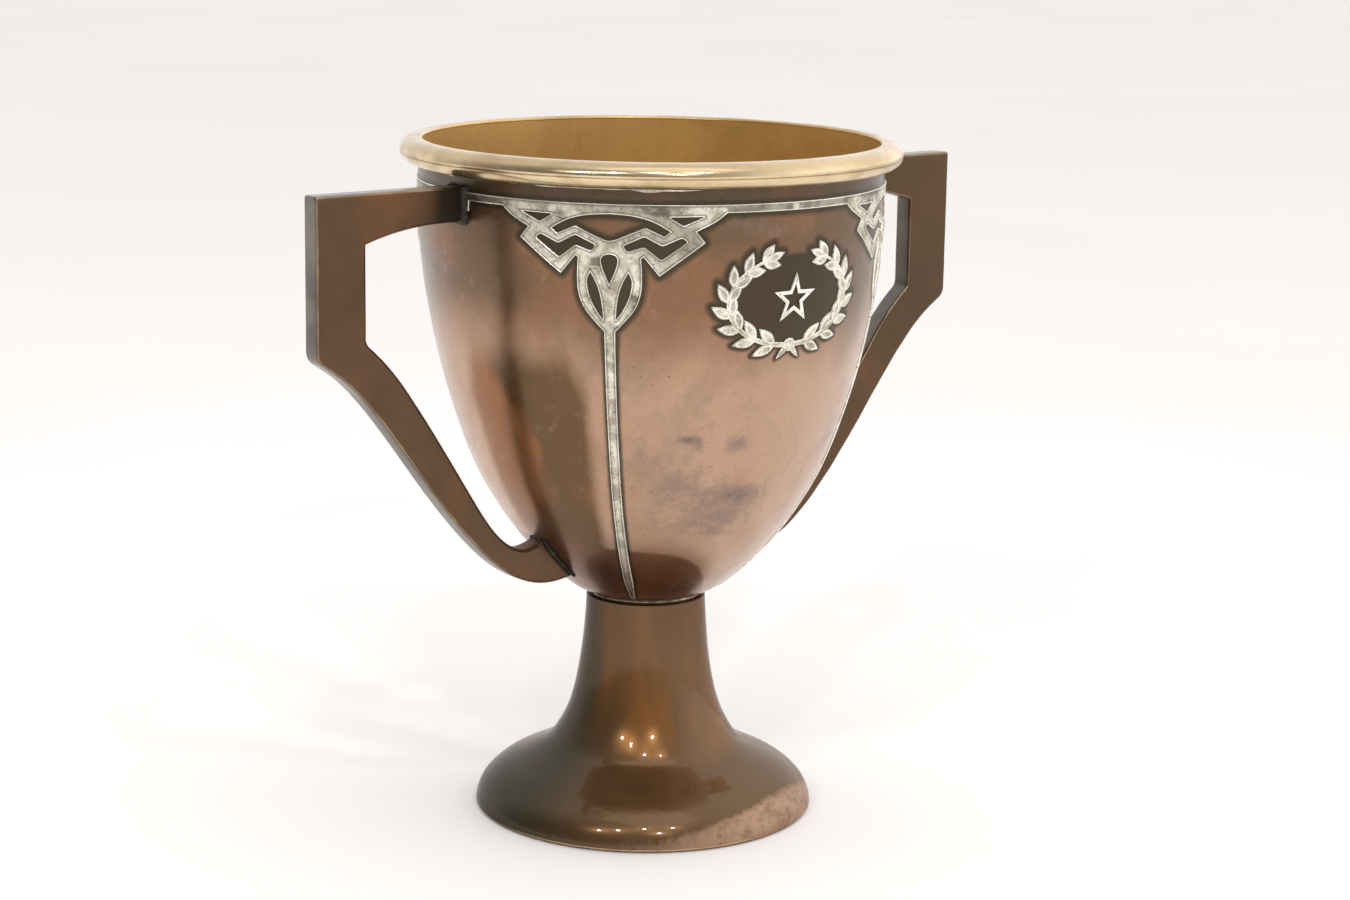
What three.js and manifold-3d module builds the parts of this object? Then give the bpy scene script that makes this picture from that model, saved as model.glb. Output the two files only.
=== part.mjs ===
// Two-handled loving cup: a spun bronze bowl on a trumpet foot, flat cast
// handles, a brass rim bead and a cut silver overlay laid on the bowl.
// Millimetres, +Z up. Origin at the centre of the foot, on the table. The
// handles lie along X and the wreath faces -Y.
import * as THREE from 'three';
import { mergeVertices } from 'three/addons/utils/BufferGeometryUtils.js';
import Module from 'manifold-3d';

const wasm = await Module();
wasm.setup();

// ---------------------------------------------------------------- dimensions
const HEIGHT = 254; // ten inches, table to top of rim
const TURN = 56; // segments of a full turn
const FIT = 0.3; // clearance between neighbouring pieces

const BEAD = { radius: 87.0, halfWidth: 5.3, halfHeight: 4.55 };
const BOWL = { bottom: 83.6, lip: 244.5, wall: 1.5, floor: 2.2 };
const FOOT = { top: 82.0, edgeHeight: 3.8, edgeRadius: 62.7, wall: 1.5 };
const SOLDER_RING = { inner: 16.5, outer: 21.3, low: 82.3, high: 83.3 };

const HANDLE = {
  thick: 8.6,
  reach: 146.1, // axis to outer face of the grip
  top: 241.4, // flat top of the arm
  gripWidth: 19.9,
  edge: 0.6, // broken edge all round
};
const OVERLAY = {
  thick: 0.7,
  bandTop: 239.6,
  bandLow: 236.7,
  stemWidth: 3.8,
  turn: -2.3, // degrees the overlay sits round from the handles' mid-plane
};
const EMBLEM = { turn: -1.2, height: 205.3, halfWidth: 26.2, halfHeight: 16.4 };

// Outside of the bowl: radius, height.
const BOWL_STATIONS = [
  [21.2, 83.6], [27.6, 86.6], [34.0, 91.8], [41.0, 98.4], [48.6, 107], [56.4, 118],
  [64.3, 132], [71.3, 150], [77.8, 172], [82.7, 196], [85.3, 218], [85.6, 232],
];
// Outside of the stem and foot: radius, height.
const FOOT_STATIONS = [
  [61.9, 4.1], [59.6, 8.6], [53.6, 13.8], [43.6, 18.8], [35.7, 23.6], [31.0, 30],
  [27.2, 38], [24.5, 48], [22.6, 60], [21.5, 72], [20.9, 82],
];

// ------------------------------------------------------------------- helpers
const v2 = (x, y) => new THREE.Vector2(x, y);

// Welds a geometry, drops slivers of zero area and turns its faces outward.
function solid(source) {
  let g = source.index ? source.toNonIndexed() : source.clone();
  for (const name of Object.keys(g.attributes)) if (name !== 'position') g.deleteAttribute(name);
  g = mergeVertices(g, 1e-4);
  const p = g.attributes.position, keep = [];
  const a = new THREE.Vector3(), b = new THREE.Vector3(), c = new THREE.Vector3();
  let volume = 0;
  for (let i = 0; i < g.index.count; i += 3) {
    const [i0, i1, i2] = [g.index.getX(i), g.index.getX(i + 1), g.index.getX(i + 2)];
    if (i0 === i1 || i1 === i2 || i2 === i0) continue;
    a.fromBufferAttribute(p, i0); b.fromBufferAttribute(p, i1); c.fromBufferAttribute(p, i2);
    volume += a.dot(b.clone().cross(c));
    keep.push(i0, i1, i2);
  }
  if (volume < 0) for (let i = 0; i < keep.length; i += 3) [keep[i + 1], keep[i + 2]] = [keep[i + 2], keep[i + 1]];
  g.setIndex(keep);
  return g;
}

// Halves every edge longer than the grain, or twice the grain if it is upright,
// where the bowl is flatter; neighbouring faces share the point.
function refined(g, grain) {
  const points = [];
  for (let i = 0; i < g.attributes.position.count; i++)
    points.push(new THREE.Vector3().fromBufferAttribute(g.attributes.position, i));
  let faces = Array.from(g.index.array);
  for (let busy = true; busy; ) {
    busy = false;
    const middle = new Map(), next = [];
    const split = (i, j) => {
      const d = points[i].clone().sub(points[j]);
      if (Math.hypot(d.x, d.y / 2) <= grain) return -1;
      const key = i < j ? `${i},${j}` : `${j},${i}`;
      if (!middle.has(key)) {
        middle.set(key, points.length);
        points.push(points[i].clone().add(points[j]).multiplyScalar(0.5));
      }
      return middle.get(key);
    };
    for (let f = 0; f < faces.length; f += 3) {
      let [a, b, c] = faces.slice(f, f + 3);
      let [ab, bc, ca] = [split(a, b), split(b, c), split(c, a)];
      const cuts = (ab >= 0) + (bc >= 0) + (ca >= 0);
      if (cuts) busy = true;
      // Turn the face so that the patterns below begin at a cut edge.
      while ((cuts === 1 && ab < 0) || (cuts === 2 && ca >= 0)) {
        [a, b, c] = [b, c, a];
        [ab, bc, ca] = [bc, ca, ab];
      }
      if (cuts === 0) next.push(a, b, c);
      else if (cuts === 1) next.push(a, ab, c, ab, b, c);
      else if (cuts === 2) next.push(ab, b, bc, a, ab, bc, a, bc, c);
      else next.push(a, ab, ca, ab, b, bc, ca, bc, c, ab, bc, ca);
    }
    faces = next;
  }
  const fine = new THREE.BufferGeometry();
  fine.setAttribute('position', new THREE.Float32BufferAttribute(points.flatMap((q) => q.toArray()), 3));
  fine.setIndex(faces);
  return fine;
}

const toManifold = (g) => {
  const s = solid(g);
  return new wasm.Manifold(new wasm.Mesh({
    numProp: 3,
    vertProperties: Float32Array.from(s.attributes.position.array),
    triVerts: Uint32Array.from(s.index.array),
  }));
};

const fromManifold = (m) => {
  const mesh = m.getMesh();
  const g = new THREE.BufferGeometry();
  const pos = new Float32Array(mesh.numVert * 3);
  for (let i = 0; i < mesh.numVert; i++)
    for (let k = 0; k < 3; k++) pos[3 * i + k] = mesh.vertProperties[i * mesh.numProp + k];
  g.setAttribute('position', new THREE.BufferAttribute(pos, 3));
  g.setIndex(Array.from(mesh.triVerts));
  return g;
};

// Profile of [radius, height] points turned about the Z axis.
const turned = (points, segments = TURN) =>
  new THREE.LatheGeometry(points.map(([r, z]) => v2(r, z)), segments).rotateX(Math.PI / 2);

const smooth = (stations, count) =>
  new THREE.SplineCurve(stations.map(([r, z]) => v2(r, z))).getPoints(count).map((p) => [p.x, p.y]);

// Moves a profile to its inner side by a wall thickness.
function inset(points, wall) {
  return points.map(([r, z], i) => {
    const [r0, z0] = points[Math.max(0, i - 1)], [r1, z1] = points[Math.min(points.length - 1, i + 1)];
    const l = Math.hypot(r1 - r0, z1 - z0);
    return [r - (wall * (z1 - z0)) / l, z + (wall * (r1 - r0)) / l];
  });
}

// --------------------------------------------------------------- bowl surface
const bowlLine = smooth(BOWL_STATIONS, 240);
bowlLine.push([85.6, 260]);
function bowlAt(z) {
  let i = 1;
  while (i < bowlLine.length - 1 && bowlLine[i][1] < z) i++;
  const [r0, z0] = bowlLine[i - 1], [r1, z1] = bowlLine[i];
  const t = (z - z0) / (z1 - z0), slope = (r1 - r0) / (z1 - z0), l = Math.hypot(1, slope);
  return { r: r0 + t * (r1 - r0), nr: 1 / l, nz: -slope / l };
}

// A flat plate in arc length (x), height (y) and depth (z) is laid on the bowl
// with its middle at a compass angle measured from -Y towards +X.
// Faces longer than the grain are split first, so that they can bend.
function layOnBowl(flat, degrees, grain) {
  const fine = grain ? refined(solid(flat), grain) : flat.clone();
  const p = fine.attributes.position;
  for (let i = 0; i < p.count; i++) {
    const s = bowlAt(p.getY(i)), h = FIT + p.getZ(i);
    const angle = THREE.MathUtils.degToRad(degrees) + p.getX(i) / s.r;
    const r = s.r + h * s.nr;
    p.setXYZ(i, r * Math.sin(angle), -r * Math.cos(angle), p.getY(i) + h * s.nz);
  }
  return fine;
}

const plate = (shape, curveSegments = 5) =>
  new THREE.ExtrudeGeometry(shape, { depth: OVERLAY.thick, bevelEnabled: false, curveSegments, steps: 1 });

// Straight strip of a given depth between two edges, given at each station as
// [along, edge, edge]; it runs along x, or along y where upright is true.
function ribbon(stations, upright = false) {
  const corners = stations.map(([a, lo, hi]) => {
    const q = (b, z) => (upright ? [b, a, z] : [a, b, z]);
    return [q(lo, 0), q(hi, 0), q(hi, OVERLAY.thick), q(lo, OVERLAY.thick)];
  });
  const pos = [];
  const quad = (a, b, c, d) => pos.push(...a, ...b, ...c, ...a, ...c, ...d);
  for (let i = 1; i < corners.length; i++)
    for (let k = 0; k < 4; k++)
      quad(corners[i - 1][k], corners[i][k], corners[i][(k + 1) % 4], corners[i - 1][(k + 1) % 4]);
  const last = corners.length - 1;
  quad(...corners[0]);
  quad(corners[last][3], corners[last][2], corners[last][1], corners[last][0]);
  const g = new THREE.BufferGeometry();
  g.setAttribute('position', new THREE.Float32BufferAttribute(pos, 3));
  return g;
}

// Adds the mirror image of a half outline, so that it closes over the middle.
const mirrored = (half) => half.concat(half.filter(([x]) => x > 1e-6).map(([x, y]) => [-x, y]).reverse());
// Outlines run counter-clockwise, so that the walls of their openings face right.
const outline = (points) => {
  const list = points.map(([x, y]) => v2(x, y));
  return new THREE.Shape(THREE.ShapeUtils.isClockWise(list) ? list.reverse() : list);
};
const opening = (points) => new THREE.Path(points.map(([x, y]) => v2(x, y)));
const curve = (points, count) => smooth(points, count);

// ---------------------------------------------------------------- materials
const metal = (color, roughness, metalness = 1) => new THREE.MeshStandardMaterial({ color, roughness, metalness });
const bronze = metal(0x8a6248, 0.38);
const darkBronze = metal(0x5f4632, 0.42);
const brass = metal(0xd2b483, 0.28);
const silver = metal(0xb9b4a4, 0.34);
const solder = metal(0x5d5a52, 0.5);

const cup = new THREE.Group();
function add(name, geometry, material) {
  const mesh = new THREE.Mesh(solid(geometry), material);
  mesh.name = name;
  cup.add(mesh);
  return mesh;
}

// ---------------------------------------------------------------------- bowl
{
  const outside = smooth(BOWL_STATIONS, 12).concat([[85.6, BOWL.lip]]);
  const line = smooth(BOWL_STATIONS, 8);
  const inside = inset(line, BOWL.wall).filter(([r, z]) => z > BOWL.bottom + BOWL.floor + 1.2 && r > 14);
  add('bowl_shell', turned([
    [0, BOWL.bottom], ...outside, [85.6 - BOWL.wall, BOWL.lip], ...inside.reverse(),
    [10, BOWL.bottom + BOWL.floor + 0.3], [0, BOWL.bottom + BOWL.floor],
  ]), bronze);
}

// ------------------------------------------------------------------ rim bead
{
  const ring = [];
  const n = 12, zc = HEIGHT - BEAD.halfHeight;
  for (let i = 0; i <= n; i++) {
    const a = (2 * Math.PI * i) / n;
    ring.push([BEAD.radius + BEAD.halfWidth * Math.sin(a), zc - BEAD.halfHeight * Math.cos(a)]);
  }
  add('rim_bead', turned(ring), brass);
}

// -------------------------------------------------------- stem and foot, edge
{
  const outside = smooth(FOOT_STATIONS, 13);
  const inside = inset(smooth(FOOT_STATIONS, 8), FOOT.wall).map(([r, z]) => [r, Math.min(z, FOOT.top - 2.2)]);
  inside[0][1] = 4.1;
  add('foot_shell', turned([
    ...outside, [0, FOOT.top], [0, FOOT.top - 2.2], ...inside.reverse(), outside[0],
  ], 48), darkBronze);

  // Rolled edge under the foot: round outside, flat where it meets the table.
  const e = FOOT.edgeHeight / 2, rc = FOOT.edgeRadius - e;
  const edge = [[rc - 1.5, 0], [rc + 0.4, 0]];
  for (let i = 1; i < 5; i++) {
    const a = -Math.PI / 2 + (Math.PI * i) / 5;
    edge.push([rc + 0.4 + (e - 0.4) * Math.cos(a), e + e * Math.sin(a)]);
  }
  edge.push([rc + 0.4, 2 * e], [rc - 1.5, 2 * e]);
  for (let i = 1; i < 3; i++) {
    const a = Math.PI / 2 + (Math.PI * i) / 3;
    edge.push([rc - 1.5 + 0.8 * Math.cos(a), e + e * Math.sin(a)]);
  }
  edge.push(edge[0]);
  add('foot_edge_ring', turned(edge, 48), brass);
}

// ------------------------------------------- solder ring between stem and bowl
{
  const { inner, outer, low, high } = SOLDER_RING, m = (low + high) / 2;
  add('joint_solder_ring', turned([
    [inner, low], [outer - 0.3, low], [outer, m], [outer - 0.3, high], [inner, high], [inner, low],
  ], 48), silver);
}

// ------------------------------------------------------------------- handles
// Side view of the right handle: a flat arm from the bowl's neck, an upright
// grip, and a long diagonal that curls in to the bottom of the bowl.
const gripInner = HANDLE.reach - HANDLE.gripWidth;
const footLow = 94.6, footHigh = 109.6; // heights where the curl meets the bowl
function handleShape(clear) {
  const s = new THREE.Shape();
  const on = (z) => { const b = bowlAt(z); return [b.r + clear * b.nr, z + clear * b.nz]; };
  s.moveTo(85.6 + clear, 228.8);
  s.lineTo(85.6 + clear, HANDLE.top);
  s.lineTo(HANDLE.reach - 1, HANDLE.top);
  s.quadraticCurveTo(HANDLE.reach, HANDLE.top, HANDLE.reach, HANDLE.top - 1);
  s.lineTo(HANDLE.reach, 187.6);
  s.quadraticCurveTo(HANDLE.reach, 184.6, 143.6, 182.9);
  s.lineTo(137.6, 178.8);
  s.bezierCurveTo(128, 172.2, 116.5, 156.5, 109.4, 147.2);
  s.bezierCurveTo(101, 135.8, 90.6, 121.8, 80.4, 111.4);
  s.bezierCurveTo(71.8, 102.4, 60, 92.6, 46, 93.2);
  s.quadraticCurveTo(42, 93.4, ...on(footLow));
  for (let z = footLow + 3; z < footHigh; z += 3) s.lineTo(...on(z));
  s.lineTo(...on(footHigh));
  s.quadraticCurveTo(56.2, 106.6, 60.2, 107.4);
  s.bezierCurveTo(68.6, 109.2, 75.2, 119.2, 80.3, 127);
  s.bezierCurveTo(88.4, 139.6, 98, 155, 107.4, 168.2);
  s.bezierCurveTo(112.4, 175.4, 117.4, 181.6, 124.6, 187.8);
  s.quadraticCurveTo(gripInner, 189.2, gripInner, 191.2);
  s.lineTo(gripInner, 223.6);
  s.quadraticCurveTo(108, 229.9, 85.6 + clear, 228.8);
  return s;
}
for (const [side, sign] of [['left', -1], ['right', 1]]) {
  const g = new THREE.ExtrudeGeometry(handleShape(0.45), {
    depth: HANDLE.thick - 2 * HANDLE.edge, bevelEnabled: true, bevelThickness: HANDLE.edge,
    bevelSize: HANDLE.edge, bevelOffset: -HANDLE.edge, bevelSegments: 1, curveSegments: 6,
  });
  g.rotateX(Math.PI / 2).translate(0, HANDLE.thick / 2 - HANDLE.edge, 0);
  if (sign < 0) g.rotateZ(Math.PI);
  add(`handle_${side}`, g, darkBronze);
}

// ------------------------------------------- solder collars round the handles
// Each is a thin frame round the end of a handle, lying on the bowl.
const bowlSolid = toManifold(turned([
  [0, 70], [21.2 + FIT, 70], ...bowlLine.filter((_, i) => i % 6 === 0).map(([r, z]) => {
    const b = bowlAt(z);
    return [r + FIT * b.nr + 0.05, z + FIT * b.nz];
  }), [85.65 + FIT, 260], [0, 260],
], 160));
function collar(z, height, slope) {
  const half = HANDLE.thick / 2 + FIT, w = 1.5;
  const box = (hx, hz, x0, x1) => {
    const s = new THREE.Shape();
    const q = Math.min(1.2, hx / 3);
    s.moveTo(-hx + q, -hz); s.lineTo(hx - q, -hz); s.quadraticCurveTo(hx, -hz, hx, -hz + q);
    s.lineTo(hx, hz - q); s.quadraticCurveTo(hx, hz, hx - q, hz);
    s.lineTo(-hx + q, hz); s.quadraticCurveTo(-hx, hz, -hx, hz - q);
    s.lineTo(-hx, -hz + q); s.quadraticCurveTo(-hx, -hz, -hx + q, -hz);
    return new THREE.ExtrudeGeometry(s, { depth: x1 - x0, bevelEnabled: false, curveSegments: 3 })
      .translate(0, 0, x0).rotateX(Math.PI / 2).rotateZ(Math.PI / 2);
  };
  const b = bowlAt(z);
  const place = (g) => toManifold(g.rotateY(slope).translate(b.r, 0, z));
  const frame = place(box(half + w, height / 2 + FIT + w, -4, 1.7))
    .subtract(place(box(half, height / 2 + FIT, -8, 6)));
  return fromManifold(frame.subtract(bowlSolid));
}
const upperSpan = HANDLE.top - 228.8;
const lowerMid = (footLow + footHigh) / 2;
const lowerNormal = bowlAt(lowerMid);
const lowerSpan = Math.hypot(bowlAt(footHigh).r - bowlAt(footLow).r, footHigh - footLow);
for (const [side, sign] of [['left', -1], ['right', 1]]) {
  const upper = collar(228.8 + upperSpan / 2, upperSpan, 0);
  const lower = collar(lowerMid, lowerSpan + 1.2, Math.atan2(-lowerNormal.nz, lowerNormal.nr));
  if (sign < 0) { upper.rotateZ(Math.PI); lower.rotateZ(Math.PI); }
  add(`solder_upper_${side}`, upper, solder);
  add(`solder_lower_${side}`, lower, solder);
}

// ------------------------------------------------------------ silver overlay
// Band: half the way round, from one handle to the other, its ends turned down.
const bandHalf = (Math.PI / 2) * 85.6 - 7.2;
{
  const { bandLow, bandTop } = OVERLAY, hook = bandHalf - 2.7, n = 40;
  const stations = [[-bandHalf, 233, bandTop], [-hook - 0.3, 233, bandTop]];
  for (let i = 0; i <= n; i++) stations.push([hook * ((2 * i) / n - 1), bandLow, bandTop]);
  stations.push([hook + 0.3, 233, bandTop], [bandHalf, 233, bandTop]);
  add('overlay_band_front', layOnBowl(ribbon(stations), 0), silver);
  add('overlay_band_back', layOnBowl(ribbon(stations), 180), silver);
}

// Motif: an arched bracket with stepped wings over a pointed bud.
function motifShape() {
  const top = OVERLAY.bandLow - FIT, half = OVERLAY.stemWidth / 2;
  const s = outline(mirrored([
    [40.6, top],
    ...curve([[40.6, top], [36.4, 233.6], [29.8, 230.4]], 4).slice(1),
    [33.0, 226.6], [17.2, 215.0], [11.8, 221.6],
    ...curve([[11.0, 221.0], [11.6, 213.2], [8.2, 205.2], [half, 195.4]], 7),
  ]));
  s.holes.push(
    opening([[21.4, 235.1], [25.3, 232.6], [31.4, 235.1]]),
    opening([[-31.4, 235.1], [-25.3, 232.6], [-21.4, 235.1]]),
    opening(mirrored([
      [0, 235.3], ...curve([[0, 235.3], [11, 234.3], [20.8, 230.3]], 5).slice(1),
      [18.6, 228.7], [12.2, 232.0], [3.6, 228.0], [0, 226.8],
    ])),
    opening(mirrored([[0, 222.6], [2.5, 220.6], [2.3, 217.6], [0, 212.0]])),
  );
  for (const m of [1, -1]) {
    const flip = (list) => opening(list.map(([x, y]) => [m * x, y]));
    s.holes.push(
      flip([[4.7, 225.3], [12.1, 228.7], [18.4, 225.4], [24.9, 228.4], [26.7, 226.9], [17.9, 220.0], [12.1, 225.2], [6.3, 223.1]]),
      flip([[6.2, 216.6], [7.5, 211.6], [6.5, 205.8], [2.5, 199.4], [3.2, 208.6], [4.6, 213.6]]),
    );
  }
  return s;
}
// Stem: a narrow strip from the tip of the bud to the foot of the bowl.
const stemStations = [];
for (let i = 0; i <= 14; i++) {
  const w = OVERLAY.stemWidth / 2 - 0.35 * (1 - i / 14);
  stemStations.push([87.6 + (i / 14) * (195.1 - 87.6), -w, w]);
}
const motif = motifShape();
for (const [where, degrees] of [['front_left', -45], ['front_right', 45], ['back_right', 135], ['back_left', 225]]) {
  add(`overlay_motif_${where}`, layOnBowl(plate(motif, 4), degrees + OVERLAY.turn, 9), silver);
  add(`overlay_stem_${where}`, layOnBowl(ribbon(stemStations, true), degrees + OVERLAY.turn), silver);
}

// ---------------------------------------------------------- wreath and star
// Two laurel sprays tied at the foot and open at the top, round a pierced star.
{
  const { halfWidth: a, halfHeight: b, height } = EMBLEM;
  const at = (t) => v2(a * Math.cos(t), b * Math.sin(t));
  const leaf = (length, width) => {
    const s = new THREE.Shape();
    s.moveTo(0, 0);
    s.quadraticCurveTo(length * 0.45, width * 0.62, length, 0);
    s.quadraticCurveTo(length * 0.45, -width * 0.62, 0, 0);
    return plate(s, 3);
  };
  const parts = [];
  for (const side of [1, -1]) {
    const left = [], right = [];
    for (let i = 0; i <= 16; i++) {
      const t = -Math.PI / 2 + side * (-0.06 + (i / 16) * 2.72), w = 0.95 - 0.35 * (i / 16);
      const p = at(t), n = v2(Math.cos(t) / a, Math.sin(t) / b).normalize();
      left.push(v2(p.x + n.x * w, p.y + n.y * w));
      right.push(v2(p.x - n.x * w, p.y - n.y * w));
    }
    parts.push(plate(new THREE.Shape(left.concat(right.reverse()))));
    for (let i = 0; i < 8; i++) {
      const t = -Math.PI / 2 + side * (0.24 + i * 0.33), p = at(t);
      const heading = Math.atan2(b * Math.cos(t) * side, -a * Math.sin(t) * side);
      for (const lean of [0.55, -0.55]) {
        parts.push(leaf(9.6 - i * 0.25, 4.6).rotateZ(heading + lean).translate(p.x, p.y, 0));
      }
    }
    parts.push(leaf(8.4, 3.8).rotateZ(Math.atan2(b * Math.cos(-Math.PI / 2 + side * 2.6) * side, -a * Math.sin(-Math.PI / 2 + side * 2.6) * side))
      .translate(at(-Math.PI / 2 + side * 2.6).x, at(-Math.PI / 2 + side * 2.6).y, 0));
    parts.push(leaf(7.2, 2.6).rotateZ(-Math.PI / 2 + side * 0.75).translate(0, -b + 0.3, 0));
  }
  const knot = new THREE.Shape();
  knot.absarc(0, -b, 2.5, 0, 2 * Math.PI);
  parts.push(plate(knot, 8));
  const wreath = parts.map(toManifold).reduce((m, n) => m.add(n));
  add('emblem_wreath', layOnBowl(fromManifold(wreath).translate(0, height, 0), EMBLEM.turn, 9), silver);

  const starPoints = (outer, inner) => Array.from({ length: 10 }, (_, i) => {
    const t = Math.PI / 2 + (i * Math.PI) / 5, r = i % 2 ? inner : outer;
    return v2(r * Math.cos(t), height + r * Math.sin(t));
  });
  const star = new THREE.Shape(starPoints(9.6, 3.9));
  star.holes.push(new THREE.Path(starPoints(5.6, 2.3)));
  add('emblem_star', layOnBowl(plate(star), EMBLEM.turn, 10), silver);
}

export default cup;
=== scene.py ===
"""Visual model of a two-handled bronze trophy cup with a silver overlay.

Lengths are in millimetres while a surface is being worked out and in metres
once it is a mesh. The frame is the CAD frame: +Z up, handles along X, the
wreath facing -Y.
"""
import math

import bmesh
import bpy
import numpy as np
from mathutils import Matrix, Vector
from mathutils.geometry import delaunay_2d_cdt
from mathutils.kdtree import KDTree


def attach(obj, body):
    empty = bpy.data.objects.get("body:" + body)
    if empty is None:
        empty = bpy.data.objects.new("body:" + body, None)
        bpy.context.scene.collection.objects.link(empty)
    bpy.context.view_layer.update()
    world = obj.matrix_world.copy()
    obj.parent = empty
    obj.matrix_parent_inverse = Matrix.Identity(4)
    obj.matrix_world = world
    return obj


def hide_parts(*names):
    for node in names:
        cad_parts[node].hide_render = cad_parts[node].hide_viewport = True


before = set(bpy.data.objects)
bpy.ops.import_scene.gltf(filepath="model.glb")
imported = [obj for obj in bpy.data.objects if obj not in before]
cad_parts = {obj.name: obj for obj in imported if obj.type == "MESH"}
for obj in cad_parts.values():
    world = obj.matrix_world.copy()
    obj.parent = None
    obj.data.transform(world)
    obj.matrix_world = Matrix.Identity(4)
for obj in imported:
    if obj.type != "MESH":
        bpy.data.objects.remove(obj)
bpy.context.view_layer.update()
MM = 0.001
fine = 1.0  # how closely surfaces are divided

# ---- camera
TURN = math.radians(37.86)  # the cup stands this far round from the camera
HEADING, PITCH, ROLL = math.radians(0.54), math.radians(11.74), math.radians(0.904)
CAMERA_PLACE = (0, -1.08788, 0.36298)
LENS, FILM = 79.02, 36.0


def from_view(v):
    """A place or direction given as (right, away, up) for the camera, in the cup's frame."""
    c, s = math.cos(-TURN), math.sin(-TURN)
    return Vector((c * v[0] - s * v[1], s * v[0] + c * v[1], v[2]))


def new_object(name, data):
    ob = bpy.data.objects.new(name, data)
    bpy.context.scene.collection.objects.link(ob)
    return ob


def make_camera():
    cy, sy, cp, sp = math.cos(HEADING), math.sin(HEADING), math.cos(PITCH), math.sin(PITCH)
    fwd, right = Vector((sy * cp, cy * cp, -sp)), Vector((cy, -sy, 0))
    up = right.cross(fwd)
    c, s = math.cos(ROLL), math.sin(ROLL)
    right, up = c * right + s * up, c * up - s * right
    axes = [from_view(a) for a in (right, up, -fwd)]
    m = Matrix(axes).transposed().to_4x4()
    m.translation = from_view(CAMERA_PLACE)
    data = bpy.data.cameras.new("camera")
    data.lens, data.sensor_width, data.sensor_fit = LENS, FILM, "HORIZONTAL"
    data.clip_start, data.clip_end = 0.01, 50
    cam = new_object("camera", data)
    cam.matrix_world = m
    bpy.context.scene.camera = cam


make_camera()

# ---- profile lines
WALL = 1.5  # thickness of the bronze sheet
NECK = 85.6  # radius of the straight neck under the rim
BASE = 83.6  # height of the bowl's flat base
# (radius, height) up the outside of the bowl and of the foot
BOWL = [(21.2, BASE), (27.6, 86.6), (34.0, 91.8), (41.0, 98.4), (48.6, 107), (56.4, 118),
        (64.3, 132), (71.3, 150), (77.8, 172), (82.7, 196), (85.3, 218), (NECK, 232)]
FOOT = [(62.35, 1.35), (61.9, 4.1), (59.6, 8.6), (53.6, 13.8), (43.6, 18.8), (35.7, 23.6), (31.0, 30),
        (27.2, 38), (24.5, 48), (22.6, 60), (21.5, 72), (20.9, 82)]


def spline(points, count):
    """Catmull-Rom line through the points."""
    p = np.array(points, float)
    n = len(p)
    u = np.linspace(0, n - 1, count + 1)
    i = np.minimum(u.astype(int), n - 2)
    t = (u - i)[:, None]
    p0, p1, p2, p3 = p[np.maximum(i - 1, 0)], p[i], p[i + 1], p[np.minimum(i + 2, n - 1)]
    v0, v1 = (p2 - p0) / 2, (p3 - p1) / 2
    return (2 * p1 - 2 * p2 + v0 + v1) * t**3 + (-3 * p1 + 3 * p2 - 2 * v0 - v1) * t**2 + v0 * t + p1


def evenly(line, step):
    """The line again, in equal steps of about the given length."""
    line = np.asarray(line, float)
    s = np.r_[0, np.cumsum(np.hypot(*np.diff(line, axis=0).T))]
    k = np.linspace(0, s[-1], max(2, int(round(s[-1] / step)) + 1))
    return np.c_[np.interp(k, s, line[:, 0]), np.interp(k, s, line[:, 1])]


def inset(line, wall):
    """The line moved to its left by the wall, or to its right if the wall is below zero. For a
    line that runs up the outside, left is the inner side."""
    d = np.gradient(np.asarray(line, float), axis=0)
    d /= np.hypot(*d.T)[:, None]
    return line + wall * np.c_[-d[:, 1], d[:, 0]]


bowl_line = np.vstack([spline(BOWL, 600), [(NECK, z) for z in np.arange(233, 263, 1.0)]])
bowl_slope = np.gradient(bowl_line[:, 0], bowl_line[:, 1])


def bowl_radius(z):
    return np.interp(z, bowl_line[:, 1], bowl_line[:, 0])


def hills(a, z, seed, sizes, amount):
    """Slow unevenness over a turned surface: a is an angle, z a height in mm."""
    rng = np.random.default_rng(seed)
    out = np.zeros(np.broadcast(a, z).shape)
    for _ in range(14):
        k, w = rng.integers(1, 7), rng.uniform(*sizes)
        out += np.sin(k * a + z / w * 2 * math.pi + rng.uniform(0, 6.28)) * rng.uniform(0.3, 1)
    return out * amount / 3


def swing(a, degrees):
    """How far the angle a (radians) is round from a direction, in degrees, the short way."""
    return (np.degrees(a) - degrees + 180) % 360 - 180


# (degrees from -Y, height, half width, half height, depth)
DENTS = [(-25.2, 153.5, 5.0, 4.0, 0.30), (-19.4, 152.6, 4.2, 3.4, -0.12), (-12.3, 154.6, 6.5, 4.6, 0.22),
         (-5.0, 133.4, 5.5, 4.0, 0.12), (66, 121, 6, 5, 0.15), (150, 160, 9, 7, 0.16), (205, 200, 7, 6, 0.1)]


def bowl_skin(a, z):
    """Radius, outward normal (radial, up) of the bowl at angle a from -Y and height z."""
    r = bowl_radius(z)
    m = np.interp(z, bowl_line[:, 1], bowl_slope)
    slant = np.hypot(1, m)
    soft = np.clip((z - 84) / 14, 0, 1) * np.clip((248 - z) / 12, 0.1, 1)
    r = r + hills(a, z, 3, (60, 160), 0.10) * soft
    for deg, h, w, v, depth in DENTS:
        r = r - depth * np.exp(-((np.radians(swing(a, deg)) * r / w) ** 2) - ((z - h) / v) ** 2)
    return r, 1 / slant, -m / slant


def lay(x, y, h, degrees):
    """Flat (arc length, height, depth) in mm laid on the bowl, as points in metres."""
    r0 = bowl_radius(y)
    a = math.radians(degrees) + x / r0
    r, nr, nz = bowl_skin(a, y)
    rr = r + h * nr
    return np.c_[rr * np.sin(a), -rr * np.cos(a), y + h * nz] * MM


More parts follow.
